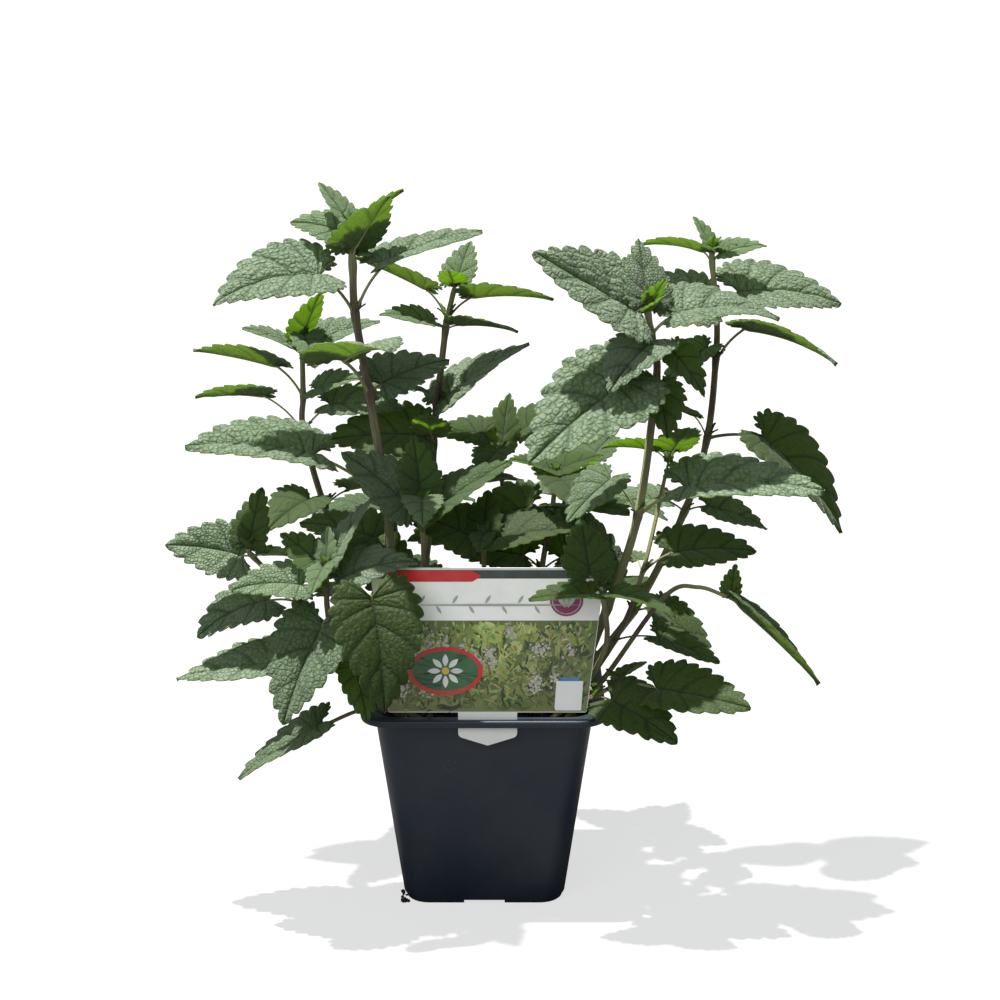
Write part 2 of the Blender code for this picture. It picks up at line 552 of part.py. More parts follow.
def make_pot(parts, cutters):
    """Moulded pot with arches in its base, drain holes and a slot for the label."""
    points, faces = pot_shell()
    pot = add_object("pot", points, faces, parts, make_material("pot_plastic", POT_BLUE_BLACK))

    arches = new_collection("pot_arches", cutters)
    inside = BASE_HALF - 0.6
    for k, (ax, ay) in enumerate(((1, 0), (0, 1), (-1, 0), (0, -1))):
        depth = NOTCH_DEPTH + WALL
        middle = inside - depth / 2
        size = (depth, NOTCH_WIDTH + 2 * WALL) if ax else (NOTCH_WIDTH + 2 * WALL, depth)
        add_cutter(box(f"arch_{k}", (ax * middle, ay * middle, (FLOOR + NOTCH_HEIGHT) / 2 + 0.7),
                       (*size, NOTCH_HEIGHT - 0.2), arches))
    cut(pot, arches, "UNION")

    holes = new_collection("pot_holes", cutters)
    for k, (ax, ay) in enumerate(((1, 0), (0, 1), (-1, 0), (0, -1))):
        middle = BASE_HALF + 4.0 - (NOTCH_DEPTH + 8.0) / 2 + 1.2
        size = (NOTCH_DEPTH + 4.0, NOTCH_WIDTH) if ax else (NOTCH_WIDTH, NOTCH_DEPTH + 4.0)
        add_cutter(box(f"notch_{k}", (ax * middle, ay * middle, 0.0), (*size, 2 * NOTCH_HEIGHT), holes))
    for k in range(4):
        angle = math.radians(45 + 90 * k)
        reach = DRAIN_OFFSET * math.sqrt(2)
        add_cutter(peg(f"drain_{k}", reach * math.cos(angle), reach * math.sin(angle), -2.0, 3.6,
                       DRAIN_RADIUS, holes))
    slot = (2 * TONGUE_HALF + 2 * GAP, LABEL_THICK + 2 * GAP, 8.0)
    add_cutter(box("label_slot", (LABEL_X, LABEL_Y, POT_HEIGHT), slot, holes))
    cut(pot, holes)


def card_slab():
    """Points and faces of the card without its tongue."""
    corners = [(-CARD_HALF_BOTTOM, CARD_BOTTOM), (CARD_HALF_BOTTOM, CARD_BOTTOM),
               (CARD_HALF_TOP, CARD_TOP), (-CARD_HALF_TOP, CARD_TOP)]
    return lofted([[(LABEL_X + x, LABEL_Y + side * LABEL_THICK / 2, z) for x, z in corners]
                   for side in (1, -1)])


def make_label(parts):
    """Printed card, wider at its top, whose pointed tongue goes down through the rim's slot."""
    half = [(-TONGUE_HALF, CARD_BOTTOM), (-CARD_HALF_BOTTOM + 1.5, CARD_BOTTOM),
            (-CARD_HALF_BOTTOM, CARD_BOTTOM + 1.5), (-CARD_HALF_TOP, CARD_TOP - 1.8),
            (-CARD_HALF_TOP + 1.8, CARD_TOP)]
    tongue = [(0.0, TONGUE_POINT), (-TONGUE_HALF + 2.5, TONGUE_LOW), (-TONGUE_HALF, TONGUE_LOW + 1.6)]
    left = tongue + half
    outline = left + [(-x, z) for x, z in reversed(left) if x]
    curve = bpy.data.curves.new("label", "CURVE")
    curve.dimensions = "2D"
    curve.fill_mode = "BOTH"
    curve.extrude = LABEL_THICK / 2 * MM
    line = curve.splines.new("POLY")
    line.points.add(len(outline) - 1)
    for point, (x, z) in zip(line.points, outline):
        point.co = (x * MM, z * MM, 0.0, 1.0)
    line.use_cyclic_u = True
    drawn = bpy.data.objects.new("label_outline", curve)
    drawn.location = (LABEL_X * MM, LABEL_Y * MM, 0.0)
    drawn.rotation_euler = (math.pi / 2, 0.0, 0.0)
    parts.objects.link(drawn)
    mesh_from_curve(drawn, "label", parts, make_material("label_card", CARD_WHITE))


def mesh_from_curve(drawn, name, parts, material):
    """Closed mesh object in place of a curve."""
    bpy.context.view_layer.update()
    graph = bpy.context.evaluated_depsgraph_get()
    mesh = bpy.data.meshes.new_from_object(drawn.evaluated_get(graph))
    mesh.transform(drawn.matrix_world)
    welded = bmesh.new()
    welded.from_mesh(mesh)
    bmesh.ops.remove_doubles(welded, verts=welded.verts, dist=0.00001)
    bmesh.ops.recalc_face_normals(welded, faces=welded.faces)
    welded.to_mesh(mesh)
    welded.free()
    mesh.materials.clear()
    mesh.materials.append(material)
    item = bpy.data.objects.new(name, mesh)
    parts.objects.link(item)
    bpy.data.objects.remove(drawn)
    return item


def soil_height(x, y):
    """Lumpy top of the peat, lower towards the wall."""
    lumps = 1.1 * np.sin(0.21 * x + 0.6) * np.cos(0.17 * y - 0.4) + 0.7 * np.sin(0.43 * x - 0.31 * y)
    return SOIL_TOP + lumps - 1.5 * (np.maximum(np.abs(x), np.abs(y)) / FLANGE_HALF) ** 4


def peat_block():
    """Points and faces of the peat that fills the pot, without the stems' holes."""
    slope = (FLANGE_HALF - WALL - (BASE_HALF + 0.6)) / (POT_HEIGHT - 0.6 - 4.9)

    def half_at(z):
        return BASE_HALF + 0.6 + slope * (z - 4.9) - GAP

    low, top = SOIL_BOTTOM, SOIL_TOP - 2.0
    rings = [rounded_square(half_at(low + 1.5) - 1.5, 10.5, low),
             rounded_square(half_at(low + 2.5), 11.5, low + 2.5),
             rounded_square(half_at(top), 13.0, top)]
    for share in (0.9, 0.6, 0.3):
        flat = np.array(rounded_square(half_at(top) * share, 13.0 * share, 0.0))
        flat[:, 2] = soil_height(flat[:, 0], flat[:, 1])
        rings.append([tuple(p) for p in flat])
    points, faces = lofted(rings)
    faces.pop()
    last = len(points) - len(rings[0])
    points.append((0.0, 0.0, float(soil_height(np.array(0.0), np.array(0.0)))))
    for k in range(len(rings[0])):
        faces.append((last + k, last + (k + 1) % len(rings[0]), len(points) - 1))
    return points, faces


def make_soil(parts, cutters):
    """Peat with a plain hole for each stem."""
    points, faces = peat_block()
    soil = add_object("soil", points, faces, parts, make_material("peat", PEAT_BROWN))
    wells = new_collection("stem_holes", cutters)
    for shoot in SHOOTS:
        first = shoot.joints[0]
        radius = (shoot.low_width / 2 * STEM_CORNER + GAP) / math.cos(math.pi / 6)
        add_cutter(peg(f"hole_{shoot.name}", first.x, first.y, SOIL_TOP - ROOT_DEPTH - GAP,
                       SOIL_TOP + 8.0, radius, wells, 6))
    cut(soil, wells)


def make_rod(name, axis, reach, parts, material):
    """Square rod, thinner towards its end, from a curve with a bevel."""
    curve = bpy.data.curves.new(name, "CURVE")
    curve.dimensions = "3D"
    curve.bevel_depth = MM
    curve.bevel_resolution = 0
    curve.use_fill_caps = True
    line = curve.splines.new("POLY")
    line.points.add(len(axis) - 1)
    for point, place, corner in zip(line.points, axis, reach):
        point.co = (*(place * MM), 1.0)
        point.radius = corner
    drawn = bpy.data.objects.new(name + "_axis", curve)
    parts.objects.link(drawn)
    return mesh_from_curve(drawn, name, parts, material)


def make_leaf(name, leaf, start, collection):
    """Open toothed surface with Solidify, thicker along the petiole."""
    points, faces, strip = leaf_surface(leaf, start)
    item = add_object(name, points, faces, collection)
    thick = petiole_width(leaf)
    group = item.vertex_groups.new(name="thick")
    group.add(list(range(strip)), 1.0, "REPLACE")
    group.add(list(range(strip, len(points))), BLADE_THICK / thick, "REPLACE")
    wall = item.modifiers.new("thickness", "SOLIDIFY")
    wall.thickness = thick * MM
    wall.offset = 0.0
    wall.vertex_group = "thick"
    return item


def make_shoots(parts, cutters):
    """Each leafy stem, of square section as in all mints, as one solid with its leaves joined on."""
    placed = clear_leaves()
    green = make_material("leaf_green", LEAF_GREEN)
    for shoot in SHOOTS:
        axis = stem_axis(shoot)
        stem = make_rod(shoot.name, axis, stem_reach(shoot, len(axis)), parts, green)
        leaves = new_collection(shoot.name + "_leaves", cutters)
        for k, (_, start, leaf) in enumerate(p for p in placed if p[0] == shoot.name):
            make_leaf(f"{shoot.name}_leaf_{k}", leaf, start, leaves)
        cut(stem, leaves, "UNION")
        apply_modifiers(stem)
        for item in list(leaves.objects):
            bpy.data.objects.remove(item)
        bpy.data.collections.remove(leaves)


def main():
    for old in list(bpy.data.objects):
        bpy.data.objects.remove(old)
    parts = new_collection("potted_catnip")
    cutters = new_collection("cutters")
    make_pot(parts, cutters)
    make_label(parts)
    make_soil(parts, cutters)
    make_shoots(parts, cutters)


main()
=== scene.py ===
# Potted catnip, dressed for the render. Sizes are in millimetres and angles in degrees.
# X runs to the right, Y away from the label and Z up; the origin is the middle of the pot's base.
from collections import namedtuple
from math import cos, degrees, pi, radians, sin, sqrt

import bpy
import numpy as np
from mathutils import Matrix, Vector
from mathutils.geometry import tessellate_polygon


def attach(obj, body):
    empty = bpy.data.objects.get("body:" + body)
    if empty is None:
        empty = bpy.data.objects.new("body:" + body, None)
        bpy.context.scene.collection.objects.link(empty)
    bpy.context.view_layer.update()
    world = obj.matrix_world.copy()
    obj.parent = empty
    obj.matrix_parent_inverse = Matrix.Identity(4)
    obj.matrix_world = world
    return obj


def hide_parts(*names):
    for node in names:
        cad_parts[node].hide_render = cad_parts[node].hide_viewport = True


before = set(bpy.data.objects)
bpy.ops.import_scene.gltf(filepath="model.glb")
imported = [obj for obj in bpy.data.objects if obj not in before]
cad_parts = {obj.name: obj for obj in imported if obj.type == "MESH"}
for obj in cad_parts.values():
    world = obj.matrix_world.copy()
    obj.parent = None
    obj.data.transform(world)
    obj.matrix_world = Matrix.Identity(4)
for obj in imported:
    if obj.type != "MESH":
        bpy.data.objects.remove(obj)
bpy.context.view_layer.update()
mm = 0.001
up = np.array([0.0, 0.0, 1.0])

# Each row is a stem of the CAD part: its node, its width at the foot and at the top, and its joints as
# x, y, z and their leaves. They were chosen for the part, and a few leaves are turned or shorter
# here as the part's own clearing of leaves that would touch left them.
# A leaf is the way it points (0 is +X, 90 is away from the label), its petiole's length and rise, its
# blade's length, pitch at the petiole and droop to the tip, roll about the midrib and turn off the petiole.
Leaf = namedtuple("Leaf", "azimuth petiole rise blade pitch droop roll turn", defaults=(0.0, 0.0))
Joint = namedtuple("Joint", "x y z leaves")
Shoot = namedtuple("Shoot", "node lowWidth topWidth joints")
stems = [
    ("shoot_left_tall", 6, 2.8, [
        (-46, -20, 108),
        (-49, -28, 168, (95, 8, 50, 38, 46, 10)),
        (-50, -27, 194, (164, 10, 50, 44, 14, 16, -24)),
        (-51, -26, 221, (189, 46, 36, 68, 16, 20, -14)),
        (-60, -21, 279, (236, 30, 45, 62, 26, 22, 0, 62), (35, 8, 30, 44, 20, 20, 25)),
        (-67, -17, 321, (200, 27, 50, 60, 9, 42, -26), (18, 29, 58, 56, 22, 14, 3)),
        (-68, -15, 346, (312, 9, 80, 42, 50, 8, -6), (105, 6, 53.4, 30, 8, 20, 16)),
        (-69, -14, 360, (159, 3, 42.1, 32, 19, 24, -34), (15, 3, 50, 34, 44, 8, -26)),
        (-69, -14, 367, (148, 2, 60, 26, 46, 0, -2), (327, 2, 57.9, 9.6, 53, 0)),
    ]),
    ("shoot_left_back", 4.2, 2.2, [
        (-44, 26, 108),
        (-66, 24, 150, (110, 16, 30, 40, 5, 25)),
        (-88, 28, 205, (236, 14, 30, 40, -4, 22, -10), (25, 16, 30, 36, 5, 20)),
        (-99, 31, 247, (185, 28, 44, 38, 9, 18, 24), (355, 20, 45, 42, 8, 22, 18)),
        (-99, 33, 266, (176, 21, 50, 47, 15, 10, 22), (335, 8, 30, 30, 24, 15, 25)),
        (-99, 33, 290, (198, 5, 30, 31, 30, 10, -12), (12, 8, 40, 38, 22, 12, 15)),
        (-99, 33, 298, (318, 2, 77.9, 30, 63, 6), (290, 6, 16.6, 24, -26, 15)),
    ]),
    ("shoot_middle_back", 4.8, 2.4, [
        (-16, 22, 108),
        (-33, 20, 153, (110, 14, 34.2, 42, 19, 25)),
        (-29, 26, 205, (20, 18, 40, 40, 10, 25)),
        (-28, 28, 240, (186, 8, 40, 52, 6, 16, -36), (266, 12, 40, 28, 38, 6)),
        (-26, 30, 261, (14, 5, 30, 56, 38, 12, 4), (196, 16, 45, 34, 15, 20, -15)),
        (-21, 33, 303, (205, 9, 28, 31, 20, 15, -16), (340, 8, 20, 34, 8, 22, -16)),
        (-20, 33, 309, (180, 19, 56, 42, 28, 8, 20), (355, 17, 43, 45, 9, 20, -20)),
        (-16, 34, 326, (65, 3, 50, 27, 52, 10), (262, 4, 40, 20, 34, 10)),
    ]),
    ("shoot_left_inner", 3.2, 2, [
        (-29, -34, 109),
        (-31, -37, 165, (60, 8, 40, 34, 10, 20, -16)),
        (-32, -41, 209, (176, 16, 64, 45, 46, 14, -40), (8, 14, 60, 47, 38, 12, 12)),
        (-32, -40, 225, (272, 5, 30, 28, -2, 22), (112, 5, 62.1, 31, 73, 10)),
    ]),
    ("shoot_left_low", 4.2, 2.2, [
        (-46, -43, 110),
        (-70, -58, 143, (290, 8, 10, 32, -42, 18, -8), (195, 14, 5, 28, -8, 25, -20)),
        (-80, -63, 170, (238, 6, -30, 57, -40, 22, -10), (320, 34, 30, 60, -62, 26, 8, -25)),
        (-81, -65, 186, (186, 12, 9, 37, 12, 30, -28), (2, 8, 33.1, 42, 29, 34, 25)),
        (-81, -65, 193, (34, 8, 60, 38, 56, 8, -10), (150, 8, 50, 26, 36, 15, -36)),
        (-81, -66, 198, (252, 3, 10, 20, -20, 20, 16), (80, 3, 70, 17.6, 72, 5, -16)),
    ]),
    ("shoot_left_far", 3.6, 2, [
        (-47, -9, 112),
        (-64, -21, 132),
        (-98, -25, 166, (190, 16, 7, 44, -6, 40, -30), (12, 12, 20, 30, 0, 20)),
        (-122, -31, 193, (177, 5, 6, 42, 16, 18, -55), (352, 4, 20, 24, 5, 15)),
        (-124, -32, 198, (50, 3, 85, 30, 74, 8, 16), (255, 2, 40, 9.6, 40, 0, -16)),
    ]),
    ("shoot_left_ground", 3, 2, [
        (-44, -34, 112),
        (-55, -35, 124),
        (-90, -36, 141, (182, 18, -18, 57, -4, 9, -8), (262, 8, 12.1, 28, -28, 20)),
        (-96, -36, 150, (100, 6, 27.9, 22, 3, 15), (215, 3, 40, 14, 20, 0)),
    ]),
    ("leaf_left_rim", 2.4, 1.8, [
        (-36, -46, 109),
        (-60, -55, 117),
        (-83, -64, 111, (186, 2, -20, 52, -30, 6, -4)),
        (-85, -64.3, 110.2),
    ]),
    ("shoot_right_tall", 5.2, 2.8, [
        (46.5, -20, 108),
        (66, -24, 163, (132, 14, 60, 50, 62, 8), (220, 22, 48, 40, 76, 6, 0, 70)),
        (81, -32, 216, (350, 29, 32, 72, 12, 22, 12), (178, 24, 56, 36, -24, 18, -12, 40)),
        (89, -38, 288, (217, 20, 10, 72, -22, 14, -26), (279, 4, 20, 34, -36, 20, -16)),
        (88, -40, 304, (236, 8, 50, 43, -16, 20, -8), (330, 9, 20, 30, -40, 18, 16)),
        (86, -42, 315, (195, 14, 56, 64, 30, -2, -44), (14, 15, 38, 58, 12, 34, 14)),
        (84, -42, 326, (103, 4, 64.2, 36, 66, 10, 16), (302, 2, 55.8, 16, 36, 0, 16)),
        (84, -42, 330, (322, 2, 60, 16, 55, 0, -16), (210, 2, 69.6, 9.9, 92, 0, 16)),
    ]),
    ("shoot_right_back", 5, 2.6, [
        (48, 4, 109),
        (82, 11, 150, (100, 16, 30, 38, 5, 25), (340, 14, 10, 40, -34, 12, 14)),
        (110, 25, 203, (10, 12, 10, 38, -16, 15, 20), (190, 14, 30, 34, 5, 20, -15)),
        (122, 31, 243, (342, 30, 4, 68, -34, 28, 12), (172, 14, 60, 30, 24, 30, 12)),
        (126, 34, 286, (346, 23, 50, 54, -4, 30, -12), (205, 8, 60, 33, -22, 20, -10)),
        (126, 35, 311, (12, 16, 44, 60, 6, 30, 26), (192, 8, 40, 50, 14, 20, -38)),
        (123, 36, 339, (176, 7, 54, 36, 20, 30, 14), (8, 6, 50, 26, 18, 20, 18)),
        (123, 36, 346, (140, 2, 60, 19, 58, 12), (322, 2, 43.4, 14, 18, 10, 16)),
    ]),
    ("shoot_right_corner", 3.6, 2.2, [
        (45, -43, 109),
        (61, -54, 143),
        (64, -67, 162),
        (61, -78, 186, (186, 4, 10, 34, 3, 12, -6), (334, 5, 10, 36, 0, 22, -4)),
        (61, -78, 191, (180, 8, 40, 35, 46, 8, 0, -80)),
    ]),
    ("shoot_right_mid", 3.4, 2, [
        (47, -29, 110),
        (70, -34, 148, (346, 22, 8, 36, -14, 10, 10)),
        (84, -30, 184, (5, 18, 35, 46, 10, 22, 25), (110, 8, 40, 14.9, 12, 20, -10)),
        (98, -12, 240, (284, 8, 60, 36, 36, 8), (172, 10, 40, 28, 10, 20, 26)),
    ]),
    ("shoot_right_trailing", 3, 1.8, [
        (48, -36, 113),
        (63, -39, 127, (345, 12, -8, 24, -12, 10)),
        (95, -44, 175),
        (112, -50, 182),
        (128, -56, 178, (336, 6, -35, 58, -36, 8, -22), (60, 2, 60, 16, 70, 0)),
    ]),
    ("shoot_right_low", 3, 2, [
        (38, -47, 110),
        (58, -51, 122, (326, 10, 0, 44, -14, 14, 30), (108, 8, 30, 13.6, 5, 20)),
        (70, -48, 128, (333, 22, 2, 54, 2, 10, 20), (52, 6, 30, 22, 15, 20, -16)),
    ]),
    ("shoot_middle_front", 3.2, 2, [
        (0, -22, 109),
        (0, -26, 165, (80, 10, 40, 34, 5, 20, -16)),
        (0, -27, 196, (172, 9, 45, 42, 26, 12, -36), (350, 9, 45, 46, 16, 15, 16)),
        (0, -27, 203, (262, 2, 50, 18, -6, 20), (83, 3, 52.1, 24, 57, 10)),
    ]),
    ("shoot_middle_right", 3.6, 2, [
        (24, -6, 109),
        (31, -6, 178, (20, 12, 30, 42, 5, 20, 25), (168, 12, 40, 40, 10, 20, -30)),
        (36, -4, 207, (188, 12, 35.8, 44, -10, 16, -30), (315, 14, 40, 46, 12, 15, 4)),
        (38, -3, 226, (288, 8, 42.1, 38, -7, 20), (100, 8, 50, 32, 40, 15)),
        (38, -3, 231, (207, 4, 47.9, 26, 23, 10, -16), (10, 4, 45.8, 24, 21, 10, 16)),
    ]),
    ("shoot_back_middle", 3.6, 2, [
        (14, 36, 109),
        (12, 46, 180, (190, 14, 30, 44, 4, 20, -30), (0, 14, 30, 42, 4, 20, 30)),
        (9, 52, 222, (176, 20, 64, 30, 10, 25, -30), (16, 21, 60, 32, 38, 10, 20)),
        (9, 52, 229, (72, 5, 59.6, 30, 72, 15, -16), (250, 6, 32.1, 30, -7, 20)),
    ]),
    ("shoot_back_right", 3.6, 2, [
        (38, 36, 110),
        (48, 56, 150, (60, 16, 25, 43, -5, 30)),
        (56, 70, 190, (330, 14, 35, 42, 5, 25), (150, 14, 35, 42, 5, 25)),
        (58, 74, 212, (65, 10, 50, 34, 20, 20), (245, 8, 50, 24, 30, 10)),
    ]),
    ("shoot_back_left", 3.6, 2, [
        (-36, 38, 110),
        (-46, 62, 145, (120, 16, 25, 43, -5, 30)),
        (-52, 78, 185, (30, 14, 35, 42, 5, 25), (210, 14, 35, 44, 5, 25)),
        (-54, 82, 208, (118, 10, 50, 34, 20, 20), (300, 8, 50, 26, 30, 10)),
    ]),
]
shoots = [Shoot(node, low, top, [Joint(*row[:3], [Leaf(*leaf) for leaf in row[3:]]) for row in rows])
          for node, low, top, rows in stems]


# meshes

def spline(points, samples):
    # Catmull-Rom curve through the points, read at samples counted in whole points
    points = np.asarray(points, float)
    ends = np.vstack([2 * points[0] - points[1], points, 2 * points[-1] - points[-2]])
    index = np.clip(np.floor(samples).astype(int), 0, len(points) - 2)
    t = (np.asarray(samples) - index)[:, None]
    a, b, c, d = (ends[index + k] for k in range(4))
    curve = 2 * b + (c - a) * t + (2 * a - 5 * b + 4 * c - d) * t ** 2
    return 0.5 * (curve + (3 * b - a - 3 * c + d) * t ** 3)


def unit(vectors):
    # vectors over their lengths
    return vectors / np.maximum(np.linalg.norm(vectors, axis=-1, keepdims=True), 1e-9)


def wheel(sides):
    # angles of equal steps once round
    return np.linspace(0, 2 * pi, sides, endpoint=False)


def gridFaces(rows, columns, start=0, closed=False, flip=False):
    # quads of a grid of points, row by row; closed joins the last column to the first
    i, j = np.meshgrid(np.arange(rows - 1), np.arange(columns if closed else columns - 1), indexing="ij")
    k = (j + 1) % columns
    quads = np.stack([i * columns + j, (i + 1) * columns + j, (i + 1) * columns + k, i * columns + k], -1)
    quads = quads.reshape(-1, 4) + start
    return quads[:, ::-1] if flip else quads


def fans(sides, pole, farPole, farRing):
    # triangles from two poles to the first ring of points and to the ring that starts at farRing
    around = np.arange(sides)
    after = (around + 1) % sides
    return [np.stack([np.full(sides, pole), after, around], 1),
            np.stack([np.full(sides, farPole), farRing + around, farRing + after], 1)]


def addObject(name, data):
    thing = bpy.data.objects.new(name, data)
    bpy.context.scene.collection.objects.link(thing)
    return thing


def makePiece(name, parts, material, nodes=(), sharp=None):
    # one mesh from parts, each a dictionary of points, faces and values kept at the points
    shift, corners, sizes = 0, [], []
    for part in parts:
        for faces in part["faces"]:
            corners.append((np.asarray(faces) + shift).ravel())
            sizes.append(np.full(len(faces), np.asarray(faces).shape[1]))
        shift += len(part["points"])
    points = np.vstack([part["points"] for part in parts])
    corners, sizes = np.concatenate(corners), np.concatenate(sizes)
    mesh = bpy.data.meshes.new(name)
    mesh.vertices.add(len(points))
    mesh.vertices.foreach_set("co", (points * mm).astype(np.float32).ravel())
    mesh.loops.add(len(corners))
    mesh.loops.foreach_set("vertex_index", corners.astype(np.int32))
    mesh.polygons.add(len(sizes))
    mesh.polygons.foreach_set("loop_start", np.concatenate([[0], np.cumsum(sizes)[:-1]]).astype(np.int32))
    mesh.update(calc_edges=True)
    mesh.polygons.foreach_set("use_smooth", np.ones(len(sizes), bool))
    if sharp:
        mesh.set_sharp_from_angle(angle=radians(sharp))
    for key in parts[0]:
        if key not in ("points", "faces"):
            values = np.vstack([part[key] for part in parts]).astype(np.float32)
            mesh.attributes.new(key, "FLOAT_VECTOR", "POINT").data.foreach_set("vector", values.ravel())
    mesh.materials.append(material)
    piece = addObject(name, mesh)
    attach(piece, "root")
    if nodes:
        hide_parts(*nodes)
    return piece


# shader helpers

class Value:
    # a value of a shader tree; arithmetic on it adds Math nodes
    def __init__(self, tree, socket):
        self.tree, self.socket = tree, socket

    def math(self, operation, other=0.0):
        node = addNode(self.tree, "ShaderNodeMath", {0: self, 1: other}, operation=operation)
        return Value(self.tree, node.outputs[0])

    def __add__(self, other):
        return self.math("ADD", other)

    def __sub__(self, other):
        return self.math("SUBTRACT", other)

    def __mul__(self, other):
        return self.math("MULTIPLY", other)

    def __pow__(self, power):
        return self.math("POWER", power)

    def __abs__(self):
        return self.math("ABSOLUTE")

    def sine(self):
        return self.math("SINE")

    def most(self, other):
        return self.math("MAXIMUM", other)

    def span(self, low, high, toLow=0.0, toHigh=1.0):
        # smooth step from toLow at low to toHigh at high
        node = addNode(self.tree, "ShaderNodeMapRange", {0: self, 1: low, 2: high, 3: toLow, 4: toHigh},
                       interpolation_type="SMOOTHSTEP")
        return Value(self.tree, node.outputs[0])


def setInput(tree, socket, value):
    value = value.socket if isinstance(value, Value) else value
    if isinstance(value, bpy.types.NodeSocket):
        tree.links.new(value, socket)
    else:
        socket.default_value = value


def setInputs(tree, node, **values):
    for key, value in values.items():
        setInput(tree, node.inputs[key.replace("_", " ")], value)


def addNode(tree, kind, values=None, **settings):
    # values go to the node's inputs, by number or name, and settings to the node itself
    node = tree.nodes.new(kind)
    for key, value in settings.items():
        setattr(node, key, value)
    for key, value in (values or {}).items():
        setInput(tree, node.inputs[key], value)
    return node


def blendColour(tree, share, first, second, mode="MIX"):
    # first where share is 0 and second where it is 1
    first, second = ((*c, 1.0) if isinstance(c, tuple) else c for c in (first, second))
    return addNode(tree, "ShaderNodeMix", {0: share, 6: first, 7: second}, data_type="RGBA",
                   blend_type=mode).outputs[2]


def attribute(tree, name):
    # values kept at a piece's points, as one vector and as its three parts
    node = addNode(tree, "ShaderNodeAttribute", attribute_name=name)
    parts = addNode(tree, "ShaderNodeSeparateXYZ", {0: node.outputs["Vector"]})
    return node.outputs["Vector"], [Value(tree, part) for part in parts.outputs]


def noise(tree, place, scale, detail=3.0, rough=0.55):
    return Value(tree, addNode(tree, "ShaderNodeTexNoise", {
        "Vector": place, "Scale": scale, "Detail": detail, "Roughness": rough}).outputs[0])


def cells(tree, place, scale, jitter=0.9, **settings):
    # distances of a Voronoi pattern
    return Value(tree, addNode(tree, "ShaderNodeTexVoronoi", {
        "Vector": place, "Scale": scale, "Randomness": jitter}, **settings).outputs["Distance"])


def objectPlace(tree):
    return addNode(tree, "ShaderNodeTexCoord").outputs["Object"]


def newMaterial(name, **values):
    # values are inputs of its Principled BSDF, with _ for a space
    material = bpy.data.materials.new(name)
    material.use_nodes = True
    tree = material.node_tree
    shader = tree.nodes["Principled BSDF"]
    setInputs(tree, shader, **values)
    return material, tree, shader


def bump(tree, shader, height, strength, distance):
    node = addNode(tree, "ShaderNodeBump", {"Height": height, "Strength": strength, "Distance": distance})
    setInputs(tree, shader, Normal=node.outputs[0])


# fine grain, soft patches and dust, from Object coordinates in metres
surfaceGrain = bpy.data.node_groups.new("surfaceGrain", "ShaderNodeTree")
for label, way in (("Grain size", "INPUT"), ("Patch size", "INPUT"), ("Dust", "INPUT"), ("Grain", "OUTPUT"),
                   ("Patches", "OUTPUT"), ("Dust", "OUTPUT")):
    surfaceGrain.interface.new_socket(label, in_out=way, socket_type="NodeSocketFloat")
grainIn = surfaceGrain.nodes.new("NodeGroupInput").outputs
grainOut = surfaceGrain.nodes.new("NodeGroupOutput").inputs
place = objectPlace(surfaceGrain)
grainScale, patchScale = (addNode(surfaceGrain, "ShaderNodeMath", {0: 1.0, 1: grainIn[key]},
                                  operation="DIVIDE").outputs[0] for key in ("Grain size", "Patch size"))
patches = noise(surfaceGrain, place, patchScale, 5.0, 0.6)
specks = cells(surfaceGrain, place, 420.0, 1.0).span(0.06, 0.16, 1.0, 0.0) * patches.span(0.52, 0.75)
for key, value in (("Grain", noise(surfaceGrain, place, grainScale, 4.0)), ("Patches", patches),
                   ("Dust", specks * grainIn["Dust"])):
    setInput(surfaceGrain, grainOut[key], value)


def addGrain(tree, size, patch, dust):
    # grain, patches and dust, each from 0 to 1; size and patch are in metres
    node = addNode(tree, "ShaderNodeGroup", node_tree=surfaceGrain)
    for key, value in (("Grain size", size), ("Patch size", patch), ("Dust", dust)):
        node.inputs[key].default_value = value
    return [Value(tree, socket) for socket in node.outputs]


# leaf and stem material

leafLook = {
    "cushion": (0.078, 0.138, 0.074),      # raised downy parts of the upper side
    "silver": (0.255, 0.310, 0.245),       # painted highlight: the sheen of sunlit down
    "furrow": (0.016, 0.034, 0.012),       # painted shade in the sunken veins and creases
    "young": (0.120, 0.215, 0.026),
    "under": (0.100, 0.155, 0.050),
    "underVein": (0.210, 0.260, 0.120),
    "through": (0.500, 0.740, 0.055),      # light that comes through each skin of a blade
    "throughOld": (0.390, 0.530, 0.130),
    "throughVein": (0.230, 0.360, 0.045),
    "throughRib": (0.190, 0.310, 0.030),
    "olive": (0.170, 0.180, 0.070),        # stems and petioles
    "purple": (0.085, 0.045, 0.040),
    "down": (0.360, 0.400, 0.330),         # hairs
    "thin": 0.50,                          # share of a blade that lets light through
    "lineWidth": 0.12,
    "creaseShade": 0.54,
    "bump": 0.9,
    "bumpHeight": 0.0010,
}
look = leafLook
leafMaterial, tree, shader = newMaterial("catnipLeaf", Roughness=0.60, Specular_IOR_Level=0.35,
                                         Sheen_Weight=0.22, Sheen_Roughness=0.4,
                                         Sheen_Tint=(0.86, 0.93, 0.88, 1.0))
_, (ribs, across, kind) = attribute(tree, "leafGrid")
flatPlace, (_, outMm, _) = attribute(tree, "leafFlat")
_, (age, purple, light) = attribute(tree, "leafToneAndShade")
_, (row, step, clear) = attribute(tree, "leafCell")
finePlace, _ = attribute(tree, "leafFine")

